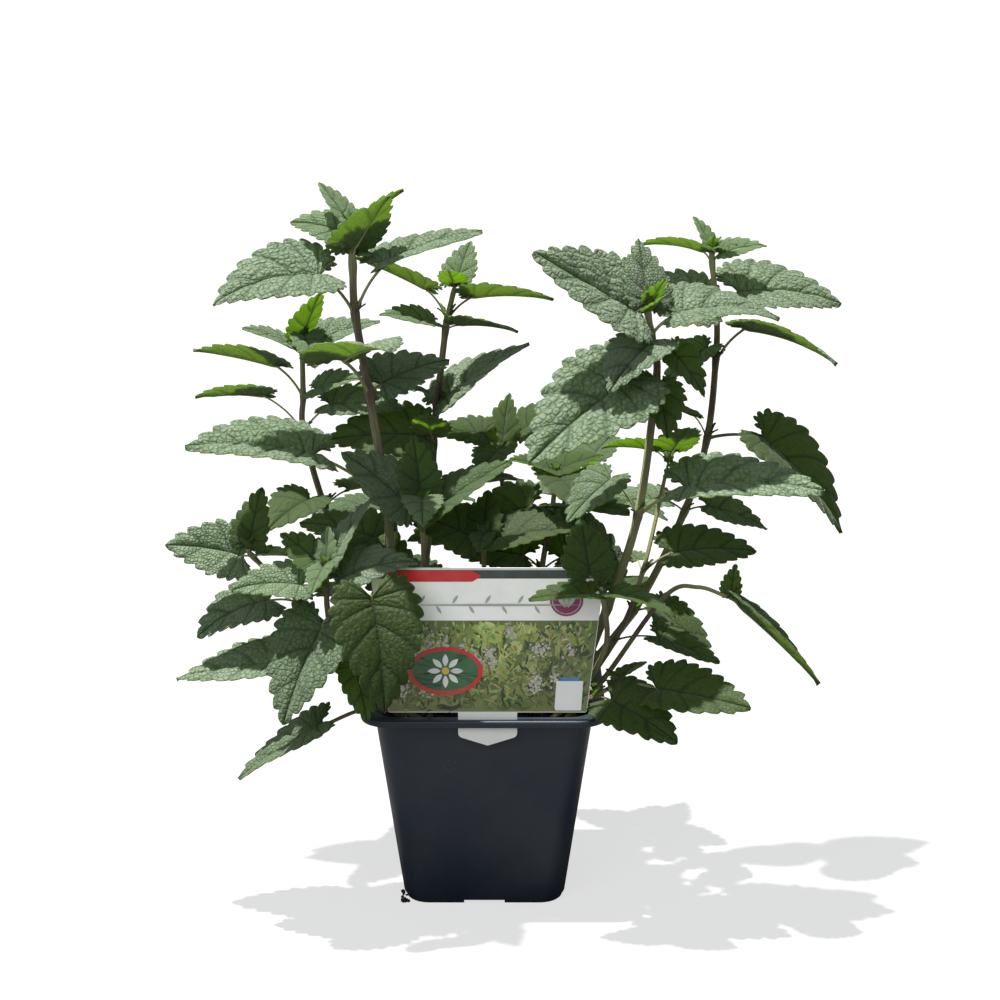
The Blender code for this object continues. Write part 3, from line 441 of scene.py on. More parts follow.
# veins follow the blade's own grid: lateral ribs at whole numbers of ribs and the midrib at outMm = 0
wave = abs((ribs * pi).sine())
vein = wave.span(0.0, look["lineWidth"], 1.0, 0.0) * abs(across).span(0.35, 1.0, 1.0, 0.25)
vein = vein.most(abs(outMm).span(0.15, 0.65, 1.0, 0.0))
rib = wave.span(0.0, 0.38, 1.0, 0.0) * abs(across).span(0.5, 1.0, 1.0, 0.2)
rib = rib.most(abs(outMm).span(0.2, 1.0, 1.0, 0.0))
# cushions between them: the mesh's own large ones, and a finer net of cells that breaks them up
whole = row.math("FLOOR")
shift = whole.math("MODULO", 2.0) * 0.5 + (whole * 2.7).sine() * 0.3
large = abs((row * pi).sine() * ((step + shift) * pi).sine()) ** 0.5 * clear
fineEdge = cells(tree, finePlace, 1.0, feature="DISTANCE_TO_EDGE", voronoi_dimensions="2D")
cushion = large * 0.45 + fineEdge.span(0.0, 0.32) ** 0.5 * 0.55
borders = fineEdge.span(0.02, 0.13, 0.95, 0.0) * noise(tree, flatPlace, 0.13).span(0.38, 0.62, 0.35, 1.0)
furrow = vein.most(large.span(0.12, 0.50, 0.7, 0.0).most(borders))
wrinkle = cells(tree, flatPlace, 0.62, feature="SMOOTH_F1").span(0.1, 0.75, 1.0, 0.0)
# painted highlight: silver sheen of sunlit down, more on the raised cushions; painted shade: leaves with a
# low light value get little of it
paintedSheen = noise(tree, flatPlace, 0.10, 5.0, 0.7) * 0.7 + noise(tree, flatPlace, 1.6, 3.0, 0.7) * 0.3
paintedSheen = (cushion * 0.35 + paintedSheen).span(0.40, 0.95) * light.span(0.55, 0.95, 0.12, 1.0)
top = blendColour(tree, paintedSheen, look["cushion"], look["silver"])
# painted shade: veins, cushion borders and wrinkles are darkened toward the furrow colour
creases = furrow.most(wrinkle.span(0.15, 0.6, 0.25, 0.0))
top = blendColour(tree, creases * look["creaseShade"], top, look["furrow"])
top = blendColour(tree, age * 0.6, top, look["young"])
under = blendColour(tree, vein.most(furrow * 0.4), look["under"], look["underVein"])
under = blendColour(tree, age * 0.6, under, look["young"])
streaks = (noise(tree, flatPlace, 0.9) - 0.5) * 1.1
stemColour = blendColour(tree, purple + streaks, look["olive"], look["purple"])
isStem = kind.math("GREATER_THAN", 1.5)
colour = blendColour(tree, isStem, blendColour(tree, kind.span(0.25, 0.75), under, top), stemColour)
colour = blendColour(tree, kind.math("GREATER_THAN", 2.5), colour, look["down"])
# painted shade: the colour is multiplied by each leaf's light value, and shaded leaves lose more blue
lessBlue = light * light.span(0.3, 0.9, 0.55, 1.0)
paintedShade = addNode(tree, "ShaderNodeCombineColor", {0: light, 1: light, 2: lessBlue}).outputs[0]
setInputs(tree, shader, Base_Color=blendColour(tree, 1.0, colour, paintedShade, "MULTIPLY"))
relief = noise(tree, flatPlace, 1.4, 3.0, 0.7) * 0.45 + (wrinkle * 0.35 - vein * 0.5) + cushion
bump(tree, shader, relief * light.span(0.4, 0.9, 0.4, 1.0), look["bump"], look["bumpHeight"])
lit = blendColour(tree, age.span(0.0, 0.45), look["throughOld"], look["through"])
lit = blendColour(tree, furrow * 0.65, lit, look["throughVein"])
lit = blendColour(tree, rib * 0.75, lit, look["throughRib"])
through = addNode(tree, "ShaderNodeBsdfTranslucent", {"Color": lit})
thin = (isStem * -1.0 + 1.0) * look["thin"]
mixed = addNode(tree, "ShaderNodeMixShader", {0: thin, 1: shader.outputs[0], 2: through.outputs[0]})
tree.links.new(mixed.outputs[0], tree.nodes["Material Output"].inputs[0])


# leaves

# painted shade: leaves that lie in shade in the plant get a lower light value, so a darker colour, less
# silver and lower cushions: (node, joint, leaf) or a whole node
leafShade = {
    "shoot_middle_front": 0.39, "shoot_middle_right": 0.4, "shoot_back_middle": 0.37,
    "shoot_back_right": 0.75, "shoot_back_left": 0.75, "shoot_right_low": 0.43,
    "shoot_right_corner": 0.37, "shoot_right_trailing": 0.45, "leaf_left_rim": 0.8,
    ("shoot_left_tall", 1, 0): 0.45, ("shoot_left_tall", 2, 0): 0.56, ("shoot_left_back", 1, 0): 0.45,
    ("shoot_left_back", 2, 0): 0.45, ("shoot_left_back", 2, 1): 0.45, ("shoot_middle_back", 1, 0): 0.4,
    ("shoot_middle_back", 2, 0): 0.45, ("shoot_middle_back", 3, 0): 0.56, ("shoot_left_inner", 1, 0): 0.45,
    ("shoot_left_inner", 2, 0): 0.85, ("shoot_left_inner", 2, 1): 0.56, ("shoot_left_inner", 3, 1): 0.56,
    ("shoot_left_low", 1, 0): 0.45, ("shoot_left_low", 2, 0): 0.75, ("shoot_left_low", 2, 1): 0.34,
    ("shoot_left_low", 4, 1): 0.56, ("shoot_left_far", 4, 0): 0.4, ("shoot_right_tall", 1, 0): 0.6,
    ("shoot_right_tall", 1, 1): 0.75, ("shoot_right_tall", 3, 1): 0.45, ("shoot_right_tall", 4, 1): 0.4,
    ("shoot_right_back", 1, 0): 0.45, ("shoot_right_back", 1, 1): 0.45, ("shoot_right_back", 3, 0): 0.39,
    ("shoot_right_mid", 1, 0): 0.45, ("shoot_right_mid", 2, 0): 0.43,
}
leafForm = {
    # along the midrib and out from it, as shares of the blade's length, and where the rib to it starts
    "edge": [(0.0, 0.018, 0.0), (-0.04, 0.07, 0.003), (-0.12, 0.13, 0.006), (-0.155, 0.22, 0.010),
             (-0.10, 0.315, 0.017), (0.03, 0.38, 0.032), (0.18, 0.40, 0.065), (0.35, 0.37, 0.135),
             (0.53, 0.305, 0.27), (0.71, 0.215, 0.47), (0.87, 0.115, 0.72), (1.0, 0.006, 0.995)],
    # from this length: teeth on a side, rows a tooth, rows before the first one, strips between lateral
    # ribs and columns a side
    "detail": [(58.0, (13, 6, 8, 7, 26)), (46.0, (12, 6, 8, 7, 20)), (36.0, (11, 4, 6, 6, 14)),
               (26.0, (10, 4, 6, 6, 12)), (16.0, (8, 4, 4, 5, 8)), (9.0, (7, 4, 4, 4, 6)),
               (0.0, (5, 2, 4, 3, 4))],
    "firstTooth": 0.11,
    "tooth": 0.060,
    "toothLean": 0.35,         # of its height, to the tip
    "toothDrop": 0.75,         # share of a tooth after which it falls to the next notch
    "fold": 12.0,
    "thick": 0.38,
    "relief": 0.0250,          # height of the cushions as a share of the blade
    "swell": 0.85,             # of that, between lateral ribs, and of each cushion
    "bead": 0.5,
    "arch": 0.022,             # each half arches up between midrib and edge
    "wave": 0.020,
    "cell": 0.070,             # size of the cushions, and of the finer ones on them
    "fine": 0.046,
    "ridge": 0.26,             # ribs under the blade
}


def directions(azimuth):
    # level unit vectors along an azimuth, and to the left of it
    x, y = cos(radians(azimuth)), sin(radians(azimuth))
    return np.array([x, y, 0.0]), np.array([-y, x, 0.0])


def onBlade(leaf, root, along, out):
    # points and normals of a blade, whose along and out are shares of its length: the midrib is an arc that
    # turns down by the droop, and each half rises from it by the fold, rounded near it as sqrt(out^2 + r^2)
    ahead, side = directions(leaf.azimuth + leaf.turn)
    pitch, droop = radians(leaf.pitch), radians(leaf.droop) + 1e-6
    roll, fold = radians(leaf.roll), radians(leafForm["fold"])
    angle = pitch - droop * np.maximum(along, 0.0)
    straight = np.minimum(along, 0.0)
    forward = (sin(pitch) - np.sin(angle)) / droop + straight * cos(pitch)
    rise = (np.cos(angle) - cos(pitch)) / droop + straight * sin(pitch)
    normal = -np.sin(angle)[..., None] * ahead + np.cos(angle)[..., None] * up
    acrossBlade = cos(roll) * side + sin(roll) * normal
    above = cos(roll) * normal - sin(roll) * side
    lift = np.sqrt(out ** 2 + 0.0006) - 0.0245
    width = out[..., None] * cos(fold) * acrossBlade + lift[..., None] * sin(fold) * above
    points = root + leaf.blade * (forward[..., None] * ahead + rise[..., None] * up + width)
    lean = np.tanh(out / 0.03)[..., None] * sin(fold)
    return points, unit(above * cos(fold) - acrossBlade * lean)


def toothEdge(phase, s, teeth, seed):
    # over each step f of the phase a tooth rises from its notch as sin(pi f / 1.5)^0.7, and drops into the
    # next notch after toothDrop; it is lower at the first notch and at the tip
    f, drop = phase % 1.0, leafForm["toothDrop"]
    height = np.abs(np.sin(pi * np.minimum(f, drop) / 1.5)) ** 0.7
    height = height * np.clip((1 - f) / (1 - drop), 0, 1) ** 0.7
    height = (height - 0.55) * (0.85 + 0.3 * np.sin(2.4 * np.floor(phase) + seed))
    return height * leafForm["tooth"] * (12 / teeth) * (phase >= 0) * np.clip(0.15 + (1 - s) * 9, 0, 1)


def bothSides(values):
    # values of the upper side's grid, and of every second row and column of it for the underside
    return np.vstack([values.reshape(-1, 3), values[::2, ::2].reshape(-1, 3)])


def makeBlade(leaf, root, seed, tone, light):
    # a closed sheet: the upper side is a fine grid from edge to edge over the midrib, the underside has
    # every second row and column, and a strip joins their borders
    form = leafForm
    teeth, toothRows, firstRows, strips, sideColumns = next(
        detail for size, detail in form["detail"] if leaf.blade >= size)
    rows, columns, start = firstRows + teeth * toothRows, 2 * sideColumns, form["firstTooth"]
    phase = (np.arange(rows + 1) - firstRows) / toothRows
    s = np.where(phase < 0, start * (1 + phase * toothRows / firstRows),
                 start + (1 - start) * phase / teeth)
    c = np.linspace(-1, 1, columns + 1)
    edge = spline(form["edge"], s * (len(form["edge"]) - 1))
    tangent = unit(np.gradient(edge[:, :2], axis=0))
    tooth = toothEdge(phase, s, teeth, seed)
    v = np.abs(c)[None, :]
    reach = v ** 6
    lean = form["toothLean"] * np.maximum(tooth, 0)
    along = edge[:, 2:] + (edge[:, :1] - edge[:, 2:]) * v ** 1.12
    along = along + (tangent[:, 0] * lean - tangent[:, 1] * tooth)[:, None] * reach
    out = edge[:, 1:2] * (1.18 * v - 0.18 * v ** 2)
    out = (out + (tangent[:, 0] * tooth + tangent[:, 1] * lean)[:, None] * reach) * np.sign(c)[None, :]
    points, normals = onBlade(leaf, root, along, out)

    ribs = np.repeat(s[:, None] * strips, columns + 1, 1)
    strip = np.abs(np.sin(pi * ribs)) ** 0.5
    outMm = np.abs(out) * leaf.blade
    nearMidrib = 1 - np.exp(-outMm / max(0.018 * leaf.blade, 0.2))
    # two rows of cushions between lateral ribs: q counts the rows and o runs along them, shifted from row
    # to row, so a cushion's height is (|sin pi q| |sin pi o|)^0.5
    o = outMm / (form["cell"] * leaf.blade)
    turn = seed + 2.0 * (c > 0)
    sway = 0.42 * np.sin(1.9 * o + turn) + 0.30 * np.sin(4.3 * o + 2.1 * turn)
    q = 2 * ribs + np.sin(pi * ribs) ** 2 * sway
    o = (o + 0.34 * np.sin(3.1 * ribs + 1.3 * turn) + 0.20 * np.sin(7.7 * ribs + 1.1 * o + turn)
         + 0.22 * np.sin(2.3 * o + 5.0 * ribs + turn))
    rowShift = 0.5 * (np.floor(q) % 2) + 0.3 * np.sin(2.7 * np.floor(q))
    beads = np.sqrt(np.abs(np.sin(pi * q) * np.sin(pi * (o + rowShift))))
    fade = (1 - 0.45 * v ** 3) * np.clip(s * 9, 0.2, 1)[:, None] * np.clip((1 - s) * 7, 0.2, 1)[:, None]
    relief = form["relief"] * leaf.blade * min(1.0, 0.3 + 0.75 * light)
    clear = strip ** 0.5 * nearMidrib
    swell = relief * form["swell"] * strip * nearMidrib * fade
    ruffle = np.sin(6.3 * (1.3 * s[:, None] + 0.11 * seed + 0.3 * (c > 0))) * v ** 2
    bend = leaf.blade * (form["arch"] * np.sin(pi * v) + form["wave"] * ruffle)
    upper = points + normals * (bend + swell + relief * form["bead"] * beads * clear * fade)[..., None]
    thick = form["thick"] * (1 - 0.45 * v ** 8)
    thick = thick + form["ridge"] * np.abs(np.cos(pi * ribs)) ** 14 * (1 - 0.75 * v)
    lower = (points + normals * (bend + 0.8 * swell - thick)[..., None])[::2, ::2]

    count = (rows + 1) * (columns + 1)
    faces = [gridFaces(rows + 1, columns + 1), gridFaces(rows // 2 + 1, columns // 2 + 1, count, flip=True)]
    border = []
    for height, width, first in ((rows + 1, columns + 1, 0), (rows // 2 + 1, columns // 2 + 1, count)):
        index = first + np.arange(height * width).reshape(height, width)
        border.append(np.concatenate([index[:-1, 0], index[-1, :-1], index[:0:-1, -1], index[0, :0:-1]]))
    fine, coarse = border
    nextCoarse, middle, after = np.roll(coarse, -1), fine[1::2], np.roll(fine, -2)[::2]
    faces.append(np.vstack([np.stack(corner, 1) for corner in (
        (coarse, middle, fine[::2]), (coarse, nextCoarse, middle), (nextCoarse, after, middle))]))
    grid = bothSides(np.stack([ribs, np.repeat(c[None, :], rows + 1, 0), np.ones_like(ribs)], -1))
    grid[count:, 2] = 0.0
    flat = np.stack([along * leaf.blade, out * leaf.blade, np.full_like(ribs, 7.3 * seed)], -1)
    part = {"points": np.vstack([upper.reshape(-1, 3), lower.reshape(-1, 3)]), "faces": faces,
            "leafGrid": grid, "leafFlat": bothSides(flat),
            "leafToneAndShade": np.tile([tone, 0.0, light], (len(grid), 1)),
            "leafCell": bothSides(np.stack([q, o, clear], -1)),
            "leafFine": bothSides(np.stack([along, out, 0.0 * out], -1) / form["fine"] + 3.7 * seed)}
    edgePoints = part["points"][fine]
    ahead = np.roll(edgePoints, -1, 0) - np.roll(edgePoints, 1, 0)
    return part, edgePoints, unit(np.cross(ahead, normals.reshape(-1, 3)[fine]))


def plainValues(count, kind):
    # values of stems (kind 2) and hairs (kind 3), which have no veins and cushions
    return {"leafGrid": np.tile([0.5, 0.5, kind], (count, 1)),
            "leafCell": np.tile([0.5, 0.5, 0.0], (count, 1)), "leafFine": np.zeros((count, 3))}


def makeTube(path, radius, side, profile, tones, seed):
    # a profile carried along a path: radius times a factor of the angle, closed at both ends
    sides, count = len(profile), len(path)
    tangent = unit(np.gradient(path, axis=0))
    side = unit(np.broadcast_to(side, path.shape) - tangent * np.sum(side * tangent, 1)[:, None])
    other = np.cross(tangent, side)
    angle = wheel(sides)
    ring = np.cos(angle)[None, :, None] * side[:, None] + np.sin(angle)[None, :, None] * other[:, None]
    reach = radius[:, None] * profile[None, :]
    points = path[:, None] + reach[..., None] * ring
    ends = np.vstack([path[0], path[-1] + tangent[-1] * radius[-1] * 0.5])
    distance = np.concatenate([[0], np.cumsum(np.linalg.norm(np.diff(path, axis=0), axis=1))])
    flat = np.stack([np.repeat(distance[:, None] * 0.12, sides, 1), reach * np.cos(angle) + 5.1 * seed,
                     reach * np.sin(angle)], -1).reshape(-1, 3)
    tones = np.repeat(tones[:, None], sides, 1).reshape(-1, 3)
    total = count * sides
    part = {"points": np.vstack([points.reshape(-1, 3), ends]),
            "faces": [gridFaces(count, sides, closed=True, flip=True),
                      np.vstack(fans(sides, total, total + 1, total - sides))],
            "leafFlat": np.vstack([flat, flat[[0, -1]]]), "leafToneAndShade": np.vstack([tones, tones[[0, -1]]]),
            **plainValues(total + 2, 2.0)}
    return part, points, ring


def makeHairs(roots, outward, length, rng):
    # each hair is a sliver: two points at its root and one at its tip, leaning a little at random
    count = len(roots)
    if not count:
        return []
    lean = unit(outward + 0.45 * rng.normal(size=(count, 3)))
    tips = roots + lean * (length * rng.uniform(0.5, 1.2, count))[:, None]
    width = unit(np.cross(lean, rng.normal(size=(count, 3)))) * 0.035
    points = np.stack([roots - width, roots + width, tips], 1).reshape(-1, 3)
    return [{"points": points, "faces": [np.arange(3 * count).reshape(-1, 3)], "leafFlat": points,
             "leafToneAndShade": np.tile([0.0, 0.0, 1.0], (3 * count, 1)), **plainValues(3 * count, 3.0)}]


stemForm = {
    "soilTop": 101.0,
    "rootDepth": 26.0,
    "sides": 24,
    "corner": 0.15,            # how much a stem's section is square
    "swelling": 0.26,          # at a joint
    "purple": 0.75,            # strongest at this share of the stem's joints, and at the lower joints
    "purpleAt": 0.65,
    "purpleWide": 0.13,
    "jointPurple": 0.35,
    "hairs": 7.0,              # a millimetre of stem
    "edgeHairs": 3.9,          # a millimetre of blade
    "hairLength": 0.62,
    "edgeHairLength": 0.45,
    "tuftLeaves": 4,
    "axilShare": 0.6,
}


def stemRoute(shoot):
    # points of the stem from the bottom of its hole, and where each stands as a share of the joints
    first = shoot.joints[0]
    low, high = stemForm["soilTop"] - stemForm["rootDepth"], stemForm["soilTop"] + 2.5
    route = np.array([(*first[:2], low), (*first[:2], high)] + [joint[:3] for joint in shoot.joints])
    samples = np.concatenate([[0.0, 0.5], np.linspace(1, len(route) - 1, 14 * (len(route) - 2) + 1)])
    path = spline(route, samples)
    path[1] = 0.5 * (route[0] + route[1])
    return path, samples / (len(route) - 1)


def makeLeaf(leaf, joint, shoot, seed, rng, purple, shade, young=None):
    # blade, petiole and hairs; the petiole is a parabola from the stem to the blade's root, and its curve
    # runs on under the midrib and tapers to the tip
    ahead, side = directions(leaf.azimuth)
    start = np.array(joint[:3]) + 0.2 * shoot.topWidth * ahead
    rise, steep = radians(leaf.rise), radians(min(leaf.rise + 14.0, 88.0))
    bend = start + 0.55 * leaf.petiole * (cos(steep) * ahead + sin(steep) * up)
    root = start + leaf.petiole * (cos(rise) * ahead + sin(rise) * up)
    tone = np.clip(0.85 - leaf.blade / 52, 0.05, 0.8) + rng.uniform(-0.06, 0.06) if young is None else young
    # each leaf's light value: a small random spread times its painted shade
    light = rng.uniform(0.93, 1.07) * shade
    blade, edgePoints, edgeOut = makeBlade(leaf, root, seed, tone, light)
    t = np.linspace(0, 1, 9)[:, None]
    stalk = (1 - t) ** 2 * start + 2 * t * (1 - t) * bend + t ** 2 * root
    shares = np.array([0.05, 0.14, 0.26, 0.40, 0.56, 0.74])
    midrib, normals = onBlade(leaf, root, shares, np.zeros(6))
    wide = min(max(0.032 * leaf.blade, 0.55 if leaf.blade < 12 else 1.0), 2.0) / 2
    taper = wide * (0.78 - 0.8 * shares)
    midrib = midrib - normals * (0.25 + 0.45 * taper[:, None])
    steps, sides = (43, 8) if leaf.blade > 26 else (29, 8) if leaf.blade > 9 else (15, 6)
    share = np.linspace(0, 14, steps)
    path = spline(np.vstack([stalk, midrib]), share)
    radius = wide * np.interp(share, [0, 1, 4, 8, 9, 14], [1.35, 1.02, 0.92, 0.95, 0.74, 0.19])
    profile = 1 - 0.20 * np.exp(-((wheel(sides) - 0.5 * pi) / 0.6) ** 2)
    flush = purple * np.interp(share, [0, 3, 8, 14], [0.8, 0.35, 0.15, 0.0])
    # the petiole's third value carries the same painted shade
    tones = np.stack([np.full(steps, tone), flush, np.full(steps, 0.4 + 0.8 * light)], 1)
    petiole, surface, ring = makeTube(path, radius, side, profile, tones, seed)
    hairy = int(stemForm["hairs"] * 0.6 * leaf.petiole)
    i, j = rng.integers(0, steps * 8 // 14, hairy), rng.integers(0, sides, hairy)
    k = rng.integers(0, len(edgePoints), int(stemForm["edgeHairs"] * leaf.blade) if leaf.blade > 9 else 0)
    return ([blade, petiole] + makeHairs(surface[i, j], ring[i, j], stemForm["hairLength"], rng)
            + makeHairs(edgePoints[k], edgeOut[k], stemForm["edgeHairLength"], rng))


def tuftLeaves(shoot, rng):
    # tiny leaves round the top of a stem and in the axils of its joints
    small, top = [], shoot.joints[-1]
    turn = rng.uniform(0, 360)
    if top.leaves:
        for k in range(stemForm["tuftLeaves"]):
            size = 8.5 - 1.1 * k + rng.uniform(-0.8, 0.8)
            small.append((top, Leaf(turn + 90 * (k % 2) + 180 * (k // 2), 0.8, 70, size, 66 + 3 * k, 18)))
    for joint in shoot.joints[1:-1]:
        for leaf in joint.leaves[:2]:
            if leaf.blade > 32 and rng.random() < stemForm["axilShare"]:
                for side in (-22, 24):
                    small.append((joint, Leaf(leaf.azimuth + side + rng.uniform(-14, 14), 1.4, 64,
                                              rng.uniform(4.5, 8.5), rng.uniform(48, 74), 16)))
    return small


def makeShoot(shoot, number):
    # the radius goes evenly from foot to top and swells at each joint as exp(-(distance / width)^2)
    rng = np.random.default_rng(100 + number)
    path, share = stemRoute(shoot)
    atJoint = np.zeros(len(path))
    for joint in shoot.joints:
        if joint.leaves:
            distance = np.linalg.norm(path - np.array(joint[:3]), axis=1)
            atJoint = np.maximum(atJoint, np.exp(-(distance / (0.715 * shoot.lowWidth)) ** 2))
    radius = np.interp(share, [0, 1], [shoot.lowWidth, shoot.topWidth]) / 2
    radius = radius * (1 + stemForm["swelling"] * atJoint)
    radius[-3:] *= np.array([0.92, 0.75, 0.45])
    nearPeak = np.exp(-((share - stemForm["purpleAt"]) / stemForm["purpleWide"]) ** 2)
    purple = 0.06 + stemForm["purple"] * nearPeak
    purple = purple + stemForm["jointPurple"] * atJoint * np.clip((0.85 - share) / 0.2, 0, 1)
    purple = np.clip(purple + 0.12 * np.sin(0.21 * path[:, 2] + number), 0, 1)
    tones = np.stack([np.full(len(path), 0.3), purple, np.full(len(path), 1.0)], 1)
    lean = path[-1] - path[0]
    side = unit(np.cross(up, lean if abs(lean[0]) + abs(lean[1]) > 0.1 else (1.0, 0.0, 0.0)))
    angle = wheel(stemForm["sides"])
    profile = 0.975 + stemForm["corner"] * np.cos(4 * angle) + 0.02 * np.cos(8 * angle)
    stem, surface, ring = makeTube(path, radius, side, profile, tones, number)
    hairy = int(stemForm["hairs"] * np.sum(np.linalg.norm(np.diff(path[2:], axis=0), axis=1)))
    i, j = rng.integers(2, len(path), hairy), rng.integers(0, stemForm["sides"], hairy)
    parts = [stem] + makeHairs(surface[i, j], ring[i, j], stemForm["hairLength"], rng)
    whole = leafShade.get(shoot.node, 1.0)
    leaves = [(joint, leaf, leafShade.get((shoot.node, j, k), whole), None)
              for j, joint in enumerate(shoot.joints) for k, leaf in enumerate(joint.leaves)]
    leaves += [(joint, leaf, max(whole, 0.8), 0.85) for joint, leaf in tuftLeaves(shoot, rng)]
    for k, (joint, leaf, shade, young) in enumerate(leaves):
        flush = 0.9 - joint.z / 420 if young is None else 0.1
        parts += makeLeaf(leaf, joint, shoot, 31 * number + k, rng, flush, shade, young)
    name = "leafyStem" + "".join(word.capitalize() for word in shoot.node.split("_")[1:])
    piece = makePiece(name, parts, leafMaterial, [shoot.node])
    triangles = sum(len(p.vertices) - 2 for p in piece.data.polygons)
    print("made", name, triangles)
    return triangles


total = sum(makeShoot(shoot, number) for number, shoot in enumerate(shoots))
print("leafy stems", total)


# pot

potForm = {
    "height": 113.0, "rimHalf": 65.0, "baseHalf": 42.2, "wall": 1.0, "flangeHalf": 58.3, "skirt": 3.8,
    "floor": 1.4, "notchWide": 22.0, "notchHigh": 2.2, "notchDeep": 14.0, "drain": 4.5, "drainAt": 25.0,
    "slotHalf": 15.8, "slotWide": 1.2,
    "cornerSteps": 12,
    "sideSteps": 8,
    "sharpFrom": 38,           # edges that turn by more stay sharp
    "colour": (0.009, 0.015, 0.029),
    "pale": (0.018, 0.023, 0.031),
    "worn": (0.050, 0.056, 0.064),
    "dust": (0.17, 0.15, 0.13),
}
labelForm = {
    "x": 2.0, "y": -61.5, "thick": 0.6, "bottom": 117.0, "top": 196.0, "halfBottom": 52.0, "halfTop": 61.0,
    "tongueHalf": 15.5, "tongueLow": 103.5, "tonguePoint": 98.5,
    "tufts": 150, "strokes": 1300, "flowers": 24, "petals": 22,      # of the printed meadow
    "layer": 0.00015,          # each print stands this much over the one before
}


def roundedSquare(half, corner, height):
    # ring of a square with round corners, counter-clockwise: four quarter circles and straight sides, all
    # split into short pieces
    arcs, ring = [], []
    for k in range(4):
        angle = np.radians(90 * k + np.linspace(0, 90, potForm["cornerSteps"] + 1))
        middle = radians(45 + 90 * k)
        centre = (half - corner) * sqrt(2) * np.array([cos(middle), sin(middle)])
        arcs.append(centre + corner * np.stack([np.cos(angle), np.sin(angle)], 1))
    share = np.linspace(0, 1, potForm["sideSteps"] + 1)[1:-1, None]
    for arc, following in zip(arcs, arcs[1:] + arcs[:1]):
        ring += [arc, arc[-1] * (1 - share) + following[0] * share]
    flat = np.vstack(ring)
    return np.column_stack([flat, np.full(len(flat), float(height))])


def makeLoft(rings):
    # closed skin through rings of equal length, with a pole in the middle of each end
    count, length = len(rings), len(rings[0])
    points = np.vstack(rings + [rings[0].mean(0), rings[-1].mean(0)])
    total = count * length
    return {"points": points, "faces": [gridFaces(count, length, closed=True, flip=True)]
            + fans(length, total, total + 1, total - length)}


def makeBlock(middle, half, low, high):
    # closed upright box
    x, y, z = np.meshgrid(*((m - h, m + h) for m, h in zip(middle, half)), (low, high), indexing="ij")
    points = np.stack([x, y, z], -1).reshape(-1, 3)
    faces = np.array([(0, 1, 3, 2), (4, 6, 7, 5), (0, 4, 5, 1), (2, 3, 7, 6), (0, 2, 6, 4), (1, 5, 7, 3)])
    return {"points": points, "faces": [faces]}


def roundBlock(x, y, low, high, radius, sides=32):
    # closed upright cylinder
    ring = np.stack([x + radius * np.cos(wheel(sides)), y + radius * np.sin(wheel(sides))], 1)
    return makeLoft([np.column_stack([ring, np.full(sides, float(z))]) for z in (low, high)])


def cutPiece(piece, tools, operation):
    # Boolean with other parts, applied to the mesh
    graph = bpy.context.evaluated_depsgraph_get()
    for part in tools:
        mesh = bpy.data.meshes.new("tool")
        faces = [tuple(face) for group in part["faces"] for face in group.tolist()]
        mesh.from_pydata((part["points"] * mm).tolist(), [], faces)
        tool = addObject("tool", mesh)
        modifier = piece.modifiers.new("cut", "BOOLEAN")
        modifier.operation, modifier.object, modifier.solver = operation, tool, "EXACT"
        graph.update()
        applied = bpy.data.meshes.new_from_object(piece.evaluated_get(graph))
        piece.modifiers.clear()
        piece.data = applied
        bpy.data.objects.remove(tool)


potMaterial, tree, shader = newMaterial("potPlastic", Specular_IOR_Level=0.38)
grain, patches, dust = addGrain(tree, 0.0005, 0.045, 0.6)
stretched = addNode(tree, "ShaderNodeMapping", {"Vector": objectPlace(tree), "Scale": (60.0, 60.0, 420.0)})
scuffs = noise(tree, stretched.outputs[0], 1.0, 6.0, 0.7).span(0.63, 0.80)
shade = blendColour(tree, patches.span(0.3, 0.7), potForm["colour"], potForm["pale"])
shade = blendColour(tree, scuffs * 0.35, shade, potForm["worn"])
shade = blendColour(tree, dust, shade, potForm["dust"])
setInputs(tree, shader, Base_Color=shade, Roughness=patches.span(0.25, 0.8, 0.34, 0.52))
bump(tree, shader, grain + scuffs, 0.12, 0.0003)

base, flange, rim, skirt, top, wall = (potForm[key] for key in (
    "baseHalf", "flangeHalf", "rimHalf", "skirt", "height", "wall"))
inner, wallFoot = flange - wall, base + 0.6
# half width, corner radius and height of each ring, up the outside, over the rim and down the inside
profile = [(base - 2.7, 10.5, 0.0), (base - 0.8, 11.4, 0.15), (base, 12.0, 0.9), (base + 0.5, 12.2, 2.2),
           (base + 1.6, 12.5, 4.5)]
profile += [(base + 1.6 + (flange - base - 1.6) * t, 12.5 + 1.5 * t, 4.5 + (top - 5.7) * t)
            for t in np.linspace(0, 1, 12)[1:-1]]
profile += [(flange - 0.15, 14.0, top - 2.0), (flange + 0.7, 14.3, top - 1.2),
            (rim - 1.5, 14.8, top - 1.2), (rim - 1.2, 15.0, top - 1.5), (rim - 1.2, 15.0, top - skirt),
            (rim - 0.6, 15.5, top - skirt - 0.05), (rim - 0.02, 16.0, top - skirt + 0.2),
            (rim, 16.0, top - skirt + 0.6), (rim, 16.0, top - 1.1), (rim - 0.12, 15.9, top - 0.5),
            (rim - 0.45, 15.6, top - 0.12), (rim - 0.9, 15.3, top), (inner + 1.1, 13.9, top),
            (inner + 0.4, 13.5, top - 0.2), (inner, 13.2, top - 0.8), (wallFoot, 11.7, 4.9),
            (base - 0.8, 11.2, 1.8), (base - 3.2, 10.0, potForm["floor"])]
potRings = [roundedSquare(*ring) for ring in profile]
pot = makePiece("nurseryPot", [makeLoft(potRings)], potMaterial, ["pot"])
arches, holes = [], []
